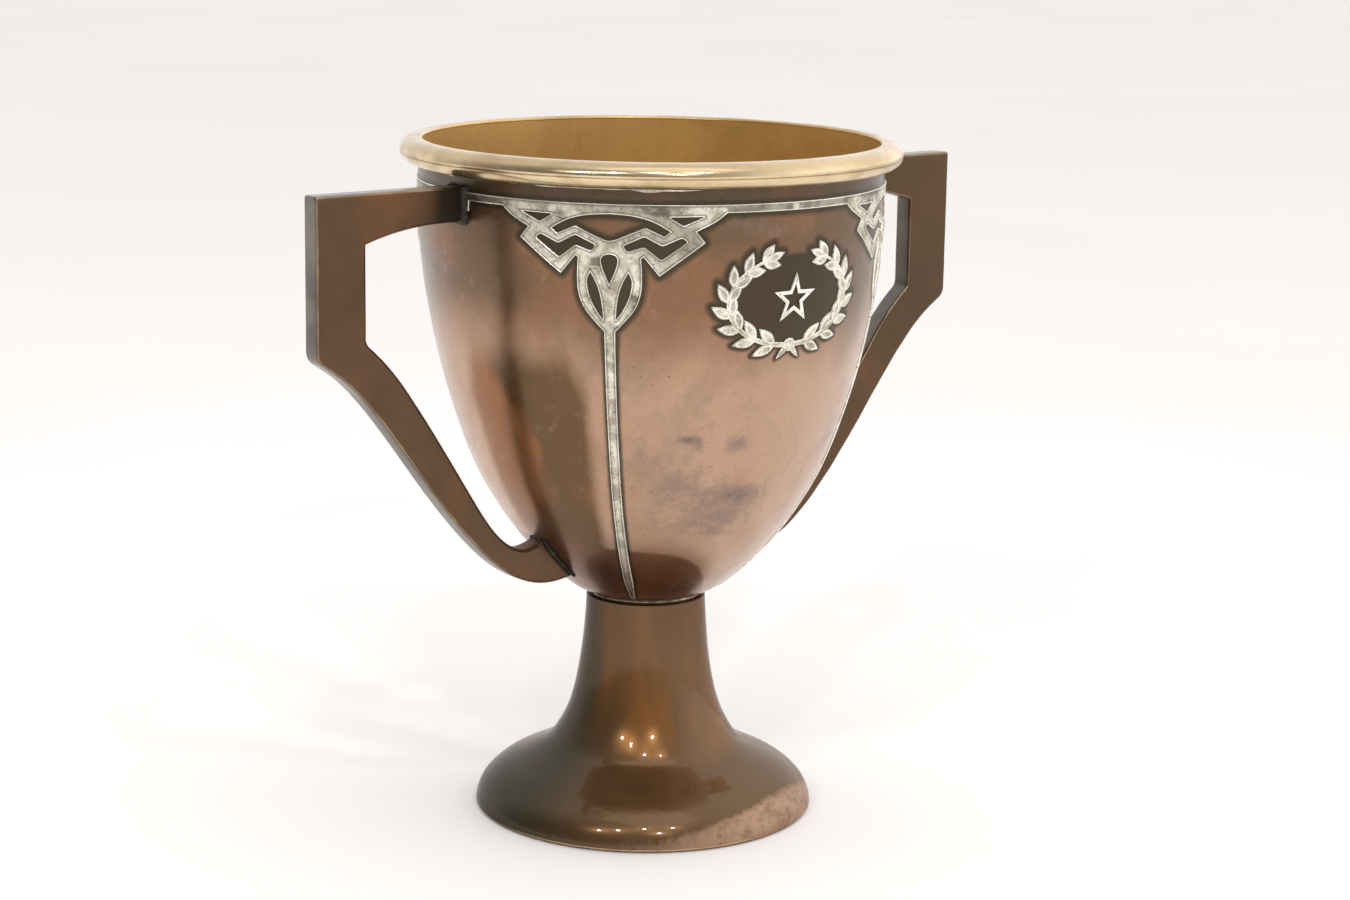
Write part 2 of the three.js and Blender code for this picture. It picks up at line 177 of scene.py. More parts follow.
# ---- mesh tools
def build(name, verts, faces, nodes, mats, face_mats=None, attrs=None, flat_angle=40):
    me = bpy.data.meshes.new(name)
    me.from_pydata([tuple(v) for v in np.asarray(verts, float)], [], faces)
    me.validate()
    for m in mats:
        me.materials.append(m)
    if face_mats is not None:
        me.polygons.foreach_set("material_index", np.asarray(face_mats, np.int32))
    for key, values in (attrs or {}).items():
        me.attributes.new(key, "FLOAT", "POINT").data.foreach_set("value", np.asarray(values, np.float32))
    me.polygons.foreach_set("use_smooth", [True] * len(me.polygons))
    if flat_angle:
        me.set_sharp_from_angle(angle=math.radians(flat_angle))
    ob = new_object(name, me)
    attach(ob, "root")
    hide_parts(*nodes)
    return ob


def turned(rows, cols, skin=None):
    """Points and faces of a surface turned about Z. rows are (radius, height) in mm; cols is one
    count for each row, and a row may have half or twice as many as the one before. skin, if given,
    turns a row's number, angles, heights and radius into the radii round it."""
    verts, start, faces = [], [], []
    for k, ((r, z), n) in enumerate(zip(rows, cols)):
        start.append(len(verts))
        if n == 1:
            verts.append((0, 0, z))
            continue
        a = np.arange(n) * 2 * math.pi / n
        rr = np.full(n, r) if skin is None else skin(k, a, np.full(n, float(z)), r)
        verts.extend(zip(rr * np.sin(a), -rr * np.cos(a), np.full(n, z)))
    for k in range(len(rows) - 1):
        s, t, n, m = start[k], start[k + 1], cols[k], cols[k + 1]
        if n == 1:
            faces += [(s, t + (j + 1) % m, t + j) for j in range(m)]
        elif m == 1:
            faces += [(s + j, s + (j + 1) % n, t) for j in range(n)]
        elif n == m:
            faces += [(s + j, s + (j + 1) % n, t + (j + 1) % n, t + j) for j in range(n)]
        elif m == 2 * n:
            for j in range(n):
                a, b, c, d, e = s + j, s + (j + 1) % n, t + 2 * j, t + 2 * j + 1, t + (2 * j + 2) % m
                faces += [(a, d, c), (a, b, d), (b, e, d)]
        else:
            for j in range(m):
                a, b, c, d, e = t + j, t + (j + 1) % m, s + 2 * j, s + 2 * j + 1, s + (2 * j + 2) % n
                faces += [(a, c, d), (a, d, b), (b, d, e)]
    return np.array(verts) * MM, faces, start


def resample(loop, spacing):
    loop = np.asarray(loop, float)
    out = []
    for p, q in zip(loop, np.roll(loop, -1, axis=0)):
        n = max(1, int(math.ceil(np.hypot(*(q - p)) / spacing)))
        out += [p + (q - p) * i / n for i in range(n)]
    return np.array(out)


def area(loop):
    x, y = np.asarray(loop, float).T
    return 0.5 * np.sum(x * np.roll(y, -1) - np.roll(x, -1) * y)


def within(pts, loops):
    """Even-odd test of points against closed loops."""
    x, y = pts[:, 0], pts[:, 1]
    odd = np.zeros(len(pts), bool)
    for loop in loops:
        for (x0, y0), (x1, y1) in zip(loop, np.roll(loop, -1, axis=0)):
            if y0 == y1:
                continue
            hit = ((y0 > y) != (y1 > y)) & (x < x0 + (y - y0) * (x1 - x0) / (y1 - y0))
            odd ^= hit
    return odd


def distance(pts, loops):
    """Distance from points to the nearest edge of any loop."""
    best = np.full(len(pts), 1e9)
    for loop in loops:
        for p, q in zip(loop, np.roll(loop, -1, axis=0)):
            d = q - p
            t = np.clip(((pts - p) @ d) / max(d @ d, 1e-12), 0, 1)
            best = np.minimum(best, np.hypot(*(pts - p - t[:, None] * d).T))
    return best


def miter(loop):
    e = np.roll(loop, -1, axis=0) - loop
    e /= np.hypot(*e.T)[:, None]
    n1 = np.c_[-e[:, 1], e[:, 0]]
    n0 = np.roll(n1, 1, axis=0)
    m = (n0 + n1) / np.maximum(1 + (n0 * n1).sum(1), 0.35)[:, None]
    return m


def drawn_in(loop, m, d):
    """The loop moved in by d, with any part that would turn back on itself drawn to one point."""
    p, ahead, n = loop + m * d, np.roll(loop, -1, axis=0) - loop, len(loop)
    for _ in range(6):
        back = ((np.roll(p, -1, axis=0) - p) * ahead).sum(1) < 0
        starts = [i for i in range(n) if back[i] and not back[i - 1]]
        for i in starts:
            k = 1
            while back[(i + k) % n] and k < n:
                k += 1
            run = [(i + j) % n for j in range(k + 1)]
            p[run] = p[run].mean(0)
        if not starts:
            break
    return p


def plate(loops, levels, spacing):
    """A flat plate with openings and a shaped edge. loops: outline then openings. levels: (inset,
    depth, edge value) from the wall up to the top face. Returns flat points, faces, edge values."""
    loops = [resample(l if (area(l) > 0) == (i == 0) else l[::-1], spacing) for i, l in enumerate(loops)]
    verts, faces, edge, last = [], [], [], []
    for loop in loops:
        m, n = miter(loop), len(loop)
        rings = []
        for d, h, e in levels:
            rings.append(len(verts))
            verts += [(x, y, h) for x, y in drawn_in(loop, m, d)]
            edge += [e] * n
        for a, b in zip(rings, rings[1:]):
            faces += [(a + i, a + (i + 1) % n, b + (i + 1) % n, b + i) for i in range(n)]
        last.append((rings[-1], n))
    edges, flat, index = [], [], []
    for s, n in last:
        k = len(flat)
        flat += [verts[s + i][:2] for i in range(n)]
        index += [s + i for i in range(n)]
        edges += [(k + i, k + (i + 1) % n) for i in range(n)]
    rim = [np.array([verts[s + i][:2] for i in range(n)]) for s, n in last]
    lo, hi = rim[0].min(0), rim[0].max(0)
    g = [(x + (j % 2) * spacing / 2, y) for j, y in enumerate(np.arange(lo[1], hi[1], spacing * 0.87))
         for x in np.arange(lo[0], hi[0], spacing)]
    g = np.array(g).reshape(-1, 2)
    g = g[within(g, rim)]
    g = g[distance(g, rim) > spacing * 0.45]
    top = levels[-1][1]
    for x, y in g:
        flat.append((x, y))
        index.append(len(verts))
        verts.append((x, y, top))
        edge.append(0.0)
    res = delaunay_2d_cdt([Vector(p) for p in flat], edges, [], 0, 1e-6)
    back = {}
    for out, origins in enumerate(res[3]):
        if origins:
            back[out] = index[origins[0]]
        else:
            back[out] = len(verts)
            verts.append((*res[0][out], top))
            edge.append(1.0)
    tri = np.array([f for f in res[2] if len(f) == 3])
    out_pts = np.array([tuple(p) for p in res[0]])
    u, w = out_pts[tri[:, 1]] - out_pts[tri[:, 0]], out_pts[tri[:, 2]] - out_pts[tri[:, 0]]
    keep = within(out_pts[tri].mean(1), rim) & (np.abs(u[:, 0] * w[:, 1] - u[:, 1] * w[:, 0]) > 2e-4)
    for f in tri[keep]:
        faces.append(tuple(back[i] for i in f))
    return np.array(verts), faces, np.array(edge)


def join_parts(parts):
    """Stacks (verts, faces, attribute arrays...) into one."""
    verts, faces, attrs, n = [], [], {}, 0
    for v, f, a in parts:
        verts.append(v)
        faces += [tuple(i + n for i in q) for q in f]
        for key, val in a.items():
            attrs.setdefault(key, []).append(val)
        n += len(v)
    return np.vstack(verts), faces, {k: np.concatenate(x) for k, x in attrs.items()}


# ---- overlay shapes
OVERLAY_TURN, EMBLEM_TURN, EMBLEM_Z = -2.3, -1.2, 205.3
BAND_TOP, BAND_LOW, STEM_W = 239.6, 236.7, 3.8
QUARTER = math.pi / 2 * NECK  # a quarter of the way round the neck
MOTIFS = [("front_left", -45), ("front_right", 45), ("back_right", 135), ("back_left", 225)]


def mirrored(half):
    half = [tuple(p) for p in half]
    return half + [(-x, y) for x, y in reversed(half) if x > 1e-6]


def flip(loop):
    return [(-x, y) for x, y in loop]


def soften(points, size):
    """The outline with its corners rounded."""
    out = []
    pts = [np.array(p, float) for p in points]
    for i, v in enumerate(pts):
        p, q = pts[i - 1], pts[(i + 1) % len(pts)]
        cut = min(size, 0.4 * np.hypot(*(p - v)), 0.4 * np.hypot(*(q - v)))
        p, q = v + (p - v) / np.hypot(*(p - v)) * cut, v + (q - v) / np.hypot(*(q - v)) * cut
        out += [tuple(p), tuple((p + 2 * v + q) / 4), tuple(q)]
    return out


def bend(points, n):
    return [tuple(p) for p in spline(points, n)]


def corner_outline():
    """Outline of one corner of the overlay: band, hooked end, motif and stem."""
    end, middle = QUARTER / 2 - 7.2, QUARTER / 2 + 0.3
    half = bend([(40.6, BAND_LOW), (36.4, 233.6), (29.8, 230.4)], 8)
    half += [(33.0, 226.6), (17.2, 215.0), (11.8, 221.6)]
    half += bend([(11.0, 221.0), (11.3, 215.5), (10.9, 208.8), (8.7, 203.1), (4.2, 197.6),
                  (STEM_W / 2, 195.2)], 20)
    half += [(STEM_W / 2 - 0.3 * t, 195.4 - 100 * t) for t in np.linspace(0.1, 1, 10)] + [(0.75, 86.6)]
    return ([(middle, BAND_TOP), (middle, BAND_LOW)] + half + [(-x, y) for x, y in reversed(half)]
            + [(-end + 2.9, BAND_LOW), (-end + 2.7, 233.0), (-end, 233.2), (-end, BAND_TOP)])


half_holes = [
    soften([(20.6, 235.3), (25.3, 232.4), (32.4, 235.5)], 0.5),
    soften([(4.7, 225.3), (12.0, 228.6), (18.2, 225.3), (24.9, 228.3), (26.8, 226.9), (17.9, 220.6),
            (11.9, 225.2), (6.3, 223.3)], 0.8),
    bend([(6.6, 216.0), (7.7, 213.4), (7.5, 210.2), (6.5, 206.6), (4.5, 202.7), (2.2, 199.4)], 14)
    + bend([(2.2, 199.4), (2.6, 204.5), (3.4, 208.8), (4.6, 212.3), (6.6, 216.0)], 12)[1:-1],
]
teardrop = mirrored(bend([(0, 222.3), (2.0, 221.8), (2.9, 220.2), (2.0, 216.6), (0, 211.9)], 9))
small_holes = [np.array(h, float) for h in half_holes + [flip(h) for h in half_holes] + [teardrop]]
motif_holes = half_holes + [flip(h) for h in half_holes] + [
    mirrored(bend([(0, 236.1), (8, 235.5), (15, 233.6), (20.8, 230.4)], 14)
             + [(18.7, 228.8), (12.9, 231.5), (12.2, 231.7), (11.5, 231.5), (3.6, 228.0), (1.6, 227.2),
                (0, 227.0)]),
    teardrop,
]


WREATH_X, WREATH_Y = 26.2, 16.4  # half width and half height of the wreath's middle line


def ellipse(t):
    return np.array([WREATH_X * math.cos(t), WREATH_Y * math.sin(t)])


def heading(t, side):
    """The way the wreath runs at t, on the side that goes up to the right (1) or left (-1)."""
    return math.atan2(WREATH_Y * math.cos(t) * side, -WREATH_X * math.sin(t) * side)


def leaf_shape(length, width):
    t = np.linspace(0, 1, 9)
    up = np.c_[length * t, width * 0.62 * 2 * t * (1 - t) * (1.25 - 0.5 * t)]
    return np.vstack([up, up[-2:0:-1] * (1, -1)])


def placed(loop, turn, at):
    c, s = math.cos(turn), math.sin(turn)
    return np.asarray(loop) @ np.array([[c, s], [-s, c]]) + at


def wreath_parts():
    """(loop, rib or None, lift) for each strap, leaf and ribbon, in mm round the middle. A rib is
    the place, direction and length of a leaf's middle line."""
    parts = []
    for side in (1, -1):
        t = -math.pi / 2 + side * np.linspace(-0.10, 2.66, 34)
        w = np.linspace(0.95, 0.5, 34)
        mid = np.c_[WREATH_X * np.cos(t), WREATH_Y * np.sin(t)]
        n = np.c_[np.cos(t) / WREATH_X, np.sin(t) / WREATH_Y]
        n *= w[:, None] / np.hypot(*n.T)[:, None]
        parts.append((np.vstack([mid + n, (mid - n)[::-1]]), None, 0.10 + 0.02 * side))
        for i in range(8):
            ti = -math.pi / 2 + side * (0.24 + i * 0.33)
            for lean in (0.55, -0.55):
                size, head = 9.6 - i * 0.25, heading(ti, side) + lean
                parts.append((placed(leaf_shape(size, 6.2), head, ellipse(ti)),
                              (ellipse(ti), head, size), 0.012 * (i % 3) + (0.02 if lean > 0 else 0)))
        ti = -math.pi / 2 + side * 2.6
        head = heading(ti, side)
        parts.append((placed(leaf_shape(8.4, 5.2), head, ellipse(ti)), (ellipse(ti), head, 8.4), 0.05))
        ribbon = placed(leaf_shape(7.2, 3.2), -math.pi / 2 + side * 0.75, (0, -16.1))
        parts.append((ribbon, None, 0.04))
    k = np.linspace(0, 2 * math.pi, 25)[:-1]
    parts.append((np.c_[2.4 * np.cos(k), -WREATH_Y + 2.4 * np.sin(k)], None, 0.22))
    return parts


def star_loop(outer, inner):
    k = np.arange(10)
    r = np.where(k % 2 == 0, outer, inner)
    return np.c_[r * np.cos(math.pi / 2 + k * math.pi / 5), r * np.sin(math.pi / 2 + k * math.pi / 5)]


wreath = wreath_parts()
star = [star_loop(9.6, 3.9), star_loop(5.6, 2.3)]


# ---- materials
class Paint:
    """A node material in the making. Lengths given to its textures are feature sizes in mm."""

    def __init__(self, name):
        self.mat = bpy.data.materials.new(name)
        self.mat.use_nodes = True
        self.tree = self.mat.node_tree
        self.shader = self.tree.nodes["Principled BSDF"]
        self.place = self.add("ShaderNodeTexCoord").outputs["Object"]
        self.seed = 0

    def add(self, kind, **settings):
        node = self.tree.nodes.new(kind)
        for k, v in settings.items():
            setattr(node, k, v)
        return node

    def put(self, socket, value):
        if hasattr(value, "is_output"):
            self.tree.links.new(value, socket)
        else:
            socket.default_value = value

    def fill(self, node, **sockets):
        """Puts each value in the node's input of that name, with spaces for the underscores."""
        for name, value in sockets.items():
            self.put(node.inputs[name.replace("_", " ")], value)

    def noise(self, size, detail=4.0, rough=0.55, stretch=(1, 1, 1), warp=0.0):
        self.seed += 7.31
        m = self.add("ShaderNodeMapping")
        self.fill(m, Vector=self.place, Scale=stretch)
        n = self.add("ShaderNodeTexNoise", noise_dimensions="4D")
        self.fill(n, W=self.seed, Vector=m.outputs[0], Scale=500.0 / size, Detail=detail, Roughness=rough,
                  Distortion=warp)
        return n.outputs["Fac"]

    def cells(self, size):
        n = self.add("ShaderNodeTexVoronoi", feature="F1")
        self.fill(n, Vector=self.place, Scale=1000.0 / size, Randomness=1.0)
        return n.outputs["Distance"]

    def attribute(self, name):
        return self.add("ShaderNodeAttribute", attribute_name=name).outputs["Fac"]

    def ramp(self, value, low, high, a=0.0, b=1.0):
        n = self.add("ShaderNodeMapRange", interpolation_type="SMOOTHSTEP")
        self.fill(n, Value=value, From_Min=low, From_Max=high, To_Min=a, To_Max=b)
        return n.outputs[0]

    def calc(self, op, a, b):
        n = self.add("ShaderNodeMath", operation=op)
        self.put(n.inputs[0], a)
        self.put(n.inputs[1], b)
        return n.outputs[0]

    def times(self, a, b):
        return self.calc("MULTIPLY", a, b)

    def plus(self, a, b):
        return self.calc("ADD", a, b)

    def centred(self, a):
        return self.calc("SUBTRACT", a, 0.5)

    def mix(self, factor, a, b):
        n = self.add("ShaderNodeMix", data_type="RGBA", blend_type="MIX")
        self.put(n.inputs[0], factor)
        for socket, value in ((n.inputs[6], a), (n.inputs[7], b)):
            self.put(socket, value if hasattr(value, "is_output") else (*value, 1.0))
        return n.outputs[2]

    def height(self):
        n = self.add("ShaderNodeSeparateXYZ")
        self.put(n.inputs[0], self.place)
        return n.outputs["Z"]

    def bump(self, value, depth, under=None):
        """depth is the height in mm from value 0 to value 1."""
        n = self.add("ShaderNodeBump")
        self.fill(n, Strength=1.0, Distance=depth * MM, Height=value)
        if under is not None:
            self.fill(n, Normal=under)
        return n.outputs[0]

    def finish(self, colour, metal, rough, normal, **sockets):
        self.fill(self.shader, Base_Color=colour, Metallic=metal, Roughness=rough, Normal=normal, **sockets)
        return self.mat


def rgb(r, g, b):
    """A colour from its 0-255 display values."""
    return tuple(((c / 255 + 0.055) / 1.055) ** 2.4 if c > 10 else c / 255 / 12.92 for c in (r, g, b))


def patina():
    p = Paint("patina")
    broad = p.noise(60, 3, 0.5, (1, 1, 0.6))
    cloud = p.noise(24, 5, 0.6, (1, 1, 0.6), warp=0.5)
    mottle = p.noise(9, 6, 0.62, warp=0.4)
    small = p.noise(3.2, 5, 0.7)
    grit = p.noise(1.1, 4, 0.7)
    sway = p.centred(cloud)
    c = p.mix(p.ramp(broad, 0.35, 0.68), rgb(184, 148, 120), rgb(188, 156, 132))
    c = p.mix(p.ramp(cloud, 0.48, 0.70, 0, 0.6), c, rgb(150, 126, 108))
    c = p.mix(p.ramp(mottle, 0.46, 0.72, 0, 0.32), c, rgb(158, 120, 90))
    top = p.ramp(p.plus(p.height(), p.times(sway, 0.035)), 0.170, 0.206, 0, 0.9)
    tone = p.mix(p.ramp(p.noise(18, 3, 0.5), 0.42, 0.60), rgb(100, 78, 54), rgb(124, 86, 58))
    tone = p.mix(p.ramp(p.noise(22, 3, 0.5), 0.52, 0.64, 0, 0.5), tone, rgb(112, 86, 78))
    c = p.mix(top, c, tone)
    # golden brown streaks, partly patina and partly painted reflection: the one near the left handle stands
    # in for a dark room mirrored there
    warm = p.ramp(p.plus(p.attribute("streak_and_reflection"), p.times(sway, 0.9)), 0.12, 0.72, 0, 0.92)
    gold = p.mix(p.ramp(p.noise(20, 3, 0.5, (1, 1, 0.4)), 0.45, 0.57), rgb(94, 68, 36), rgb(140, 90, 48))
    c = p.mix(warm, c, gold)
    # painted reflection: a reddish-brown patch low on the bowl, standing in for the dark foot mirrored in it
    low = p.ramp(p.plus(p.attribute("low"), p.times(sway, 0.5)), 0.3, 0.7, 0, 0.92)
    c = p.mix(low, c, rgb(120, 82, 58))
    grain = p.calc("SUBTRACT", p.plus(small, p.noise(1.6, 5, 0.75, warp=0.6)), 1.0)
    stain = p.plus(p.attribute("stain"), p.times(grain, 1.5))
    stain = p.plus(stain, p.times(sway, 0.8))
    c = p.mix(p.ramp(stain, 0.08, 0.85, 0, 0.72), c, rgb(134, 114, 104))
    c = p.mix(p.ramp(stain, 0.85, 1.35, 0, 0.5), c, rgb(92, 72, 62))
    c = p.mix(p.ramp(small, 0.54, 0.78, 0, 0.13), c, rgb(210, 178, 150))
    specks = p.ramp(p.cells(2.6), 0.07, 0.13, 0.8, 0.0)
    specks = p.times(specks, p.ramp(p.noise(14, 3), 0.50, 0.62))
    fine_specks = p.ramp(p.cells(1.4), 0.10, 0.17, 0.6, 0.0)
    fine_specks = p.times(fine_specks, p.ramp(p.noise(9, 3), 0.50, 0.60))
    c = p.mix(p.calc("MAXIMUM", specks, fine_specks), c, rgb(58, 40, 26))
    halo = p.attribute("halo")
    halo = p.plus(halo, p.times(p.centred(p.noise(2.2, 4, 0.6)), 0.3))
    halo = p.ramp(halo, 0.08, 0.78)
    c = p.mix(p.times(halo, 0.95), c, rgb(62, 53, 36))
    spin = p.noise(0.55, 3, 0.6, (0.02, 0.02, 1))
    rough = p.ramp(mottle, 0.3, 0.7, 0.22, 0.33)
    rough = p.plus(rough, p.times(grit, 0.06))
    rough = p.plus(rough, p.times(halo, 0.12))
    peel = p.ramp(p.height(), 0.150, 0.210, 1.0, 0.35)
    n = p.bump(spin, 0.006)
    n = p.bump(p.times(grit, peel), 0.022, n)
    n = p.bump(p.times(small, peel), 0.06, n)
    n = p.bump(mottle, 0.05, n)
    metal = p.ramp(mottle, 0.35, 0.75, 0.95, 0.85)
    return p.finish(c, metal, rough, n, Coat_Weight=0.5, Coat_Roughness=0.18, Coat_IOR=1.4)


def bare_inside():
    p = Paint("inside_bronze")
    mottle = p.noise(14, 6, 0.6, warp=0.6)
    c = p.mix(p.ramp(mottle, 0.35, 0.7), rgb(220, 186, 120), rgb(196, 162, 98))
    c = p.mix(p.ramp(p.noise(30, 4, 0.6, (1, 1, 0.5)), 0.5, 0.7, 0, 0.5), c, rgb(164, 132, 84))
    c = p.mix(p.ramp(p.noise(1.4, 4, 0.7), 0.55, 0.75, 0, 0.35), c, rgb(234, 204, 146))
    nicks = p.times(p.ramp(p.cells(3.5), 0.05, 0.09, 0.7, 0.0), p.ramp(p.noise(20, 3), 0.52, 0.6))
    c = p.mix(nicks, c, rgb(90, 66, 36))
    spin = p.noise(0.8, 3, 0.6, (0.02, 0.02, 1))
    n = p.bump(spin, 0.015)
    n = p.bump(mottle, 0.12, n)
    return p.finish(c, 0.65, p.ramp(mottle, 0.3, 0.7, 0.26, 0.40), n)


def lacquered():
    p = Paint("dark_lacquered_bronze")
    mottle = p.noise(16, 6, 0.62, warp=0.6)
    small = p.noise(2.6, 5, 0.7)
    grit = p.noise(0.9, 4, 0.7)
    c = p.mix(p.ramp(p.noise(45, 3, 0.5, (1, 1, 0.8)), 0.38, 0.66), rgb(92, 70, 44), rgb(104, 77, 50))
    c = p.mix(p.ramp(mottle, 0.45, 0.7, 0, 0.5), c, rgb(78, 56, 35))
    upper = p.ramp(p.height(), 0.020, 0.046)
    streak = p.ramp(p.noise(14, 3, 0.55, (1, 1, 0.10)), 0.43, 0.57, 0.1, 1.0)
    c = p.mix(p.times(streak, p.times(upper, 0.85)), c, rgb(146, 94, 44))
    c = p.mix(p.ramp(small, 0.56, 0.74, 0, 0.2), c, rgb(124, 96, 70))
    # painted shade: the left flank of the foot made dark, standing in for a dark reflection on that side
    c = p.mix(p.ramp(p.attribute("shade"), 0.1, 0.9, 0, 0.92), c, rgb(46, 42, 24))
    worn = p.plus(p.attribute("worn"), p.times(p.centred(small), 1.2))
    worn = p.ramp(p.plus(worn, p.times(p.centred(mottle), 1.2)), 0.30, 0.74)
    rub = p.mix(p.ramp(small, 0.42, 0.66), rgb(186, 150, 124), rgb(146, 112, 88))
    c = p.mix(p.times(worn, 0.66), c, rub)
    spin = p.noise(0.6, 3, 0.6, (0.02, 0.02, 1))
    n = p.bump(spin, 0.005)
    n = p.bump(grit, 0.005, n)
    n = p.bump(p.noise(5, 5, 0.6), 0.02, n)
    rough = p.plus(p.ramp(mottle, 0.3, 0.7, 0.24, 0.33), p.times(worn, 0.14))
    return p.finish(c, 0.55, rough, n, Coat_Weight=0.5, Coat_Roughness=0.045,
                    Specular_Tint=(0.46, 0.38, 0.3, 1.0), Specular_IOR_Level=0.0)


def handle_bronze():
    p = Paint("handle_bronze")
    mottle = p.noise(14, 5, 0.6, warp=0.5)
    grit = p.noise(0.8, 5, 0.7)
    edge, side_reflection = p.attribute("edge"), p.attribute("side_reflection")
    c = p.mix(p.ramp(p.noise(38, 3, 0.5), 0.38, 0.66), rgb(84, 66, 46), rgb(94, 69, 47))
    c = p.mix(p.ramp(mottle, 0.42, 0.7, 0, 0.5), c, rgb(76, 57, 37))
    # painted highlight: warm orange patches on the handle
    glow = p.ramp(p.noise(28, 3, 0.5, warp=0.3), 0.50, 0.68, 0, 0.55)
    c = p.mix(glow, c, rgb(120, 80, 48))
    c = p.mix(p.ramp(p.noise(1.8, 5, 0.7), 0.56, 0.76, 0, 0.12), c, rgb(140, 112, 88))
    # painted reflection: the rounded sides of the handle turn pale grey, standing in for the bright room they
    # mirror
    side = p.mix(p.ramp(p.noise(26, 4, 0.6), 0.40, 0.62), rgb(96, 94, 90), rgb(140, 136, 128))
    c = p.mix(p.times(side_reflection, 0.75), c, side)
    # the rounded edges lightened: partly worn metal, partly a painted highlight along them
    sway = p.times(p.centred(p.noise(5.0, 4, 0.6)), 1.3)
    wear_and_highlight = p.ramp(p.plus(edge, sway), 0.55, 1.15)
    c = p.mix(p.times(wear_and_highlight, 0.42), c, rgb(196, 174, 140))
    # painted shade: the handle darkened where it comes close to the bowl
    root = p.times(p.attribute("root"), p.ramp(mottle, 0.3, 0.7, 0.75, 1.25))
    c = p.mix(p.ramp(root, 0.25, 0.75, 0, 0.9), c, rgb(44, 38, 30))
    n = p.bump(grit, 0.008)
    n = p.bump(mottle, 0.05, n)
    rough = p.ramp(mottle, 0.3, 0.7, 0.26, 0.36)
    return p.finish(c, 0.85, rough, n, Coat_Weight=0.2, Coat_Roughness=0.12)


def rim_brass():
    p = Paint("worn_brass")
    mottle = p.noise(9, 6, 0.62, (1, 1, 2.2), warp=0.5)
    small = p.noise(2.0, 5, 0.72)
    c = p.mix(p.ramp(mottle, 0.4, 0.7), rgb(222, 202, 164), rgb(191, 168, 130))
    # painted reflection: the upper half of the bead made darker, as if it mirrored a dim room above
    upper = p.ramp(p.plus(p.height(), p.times(mottle, 0.003)), 0.2510, 0.2535, 0, 0.5)
    c = p.mix(upper, c, rgb(176, 150, 118))
    c = p.mix(p.ramp(p.noise(20, 3, 0.6, (1, 1, 3)), 0.52, 0.68, 0, 0.4), c, rgb(170, 142, 102))
    c = p.mix(p.ramp(small, 0.60, 0.74, 0, 0.4), c, rgb(140, 114, 78))
    seam = p.plus(p.attribute("groove"), p.times(p.centred(mottle), 0.8))
    c = p.mix(p.ramp(seam, 0.35, 0.95, 0, 0.75), c, rgb(104, 80, 50))
    n = p.bump(p.noise(0.9, 4, 0.7), 0.008)
    n = p.bump(p.noise(6, 5, 0.6, (1, 1, 2)), 0.04, n)
    return p.finish(c, 0.95, p.ramp(mottle, 0.3, 0.7, 0.16, 0.28), n)


def edge_copper():
    p = Paint("worn_copper_edge_and_shadow")
    mottle = p.noise(6, 6, 0.62, warp=0.5)
    bright = p.mix(p.ramp(mottle, 0.4, 0.7), rgb(232, 200, 164), rgb(196, 158, 120))
    # painted shadow: the lowest part of the bead, against the floor, is dark; above it the worn copper shows
    # bright
    level = p.plus(p.height(), p.times(mottle, 0.0004))
    c = p.mix(p.ramp(level, 0.0004, 0.0007), rgb(60, 44, 30), bright)
    n = p.bump(p.noise(0.9, 4, 0.7), 0.010)
    return p.finish(c, 0.9, p.ramp(mottle, 0.3, 0.7, 0.28, 0.4), n)


def silver():
    p = Paint("tarnished_silver")
    edge = p.attribute("edge")
    mottle = p.noise(3.4, 6, 0.68, warp=0.6)
    fine_noise = p.noise(1.0, 5, 0.72)
    c = p.mix(p.ramp(mottle, 0.40, 0.64), rgb(232, 226, 210), rgb(172, 164, 144))
    c = p.mix(p.ramp(p.noise(13, 4, 0.6), 0.50, 0.62, 0, 0.5), c, rgb(146, 140, 122))
    c = p.mix(p.ramp(fine_noise, 0.52, 0.66, 0, 0.5), c, rgb(104, 97, 80))
    tarnish = p.plus(p.attribute("tarnish"), p.times(p.centred(mottle), 1.0))
    flecks = p.ramp(p.noise(2.2, 6, 0.75, (0.5, 0.5, 1.6)), 0.44, 0.56, 0.35, 1.0)
    c = p.mix(p.times(flecks, p.ramp(tarnish, 0.25, 0.85, 0, 0.8)), c, rgb(84, 82, 70))
    c = p.mix(p.ramp(p.height(), 0.088, 0.104, 0.5, 0), c, rgb(104, 92, 74))
    c = p.mix(p.ramp(edge, -0.75, -0.25, 0.62, 0.0), c, rgb(92, 84, 68))
    shine = p.plus(edge, p.times(p.centred(p.noise(2.0, 4, 0.6)), 0.8))
    shine = p.ramp(shine, 0.5, 0.9)
    c = p.mix(p.times(shine, 0.85), c, rgb(254, 252, 246))
    pits = p.ramp(p.cells(1.5), 0.13, 0.21, 0.85, 0.0)
    pits = p.times(pits, p.ramp(p.noise(6, 3), 0.45, 0.55))
    c = p.mix(pits, c, rgb(52, 46, 36))
    n = p.bump(fine_noise, 0.03)
    n = p.bump(mottle, 0.10, n)
    rough = p.calc("SUBTRACT", p.ramp(mottle, 0.3, 0.7, 0.32, 0.48), p.times(shine, 0.10))
    return p.finish(c, 0.9, rough, n)


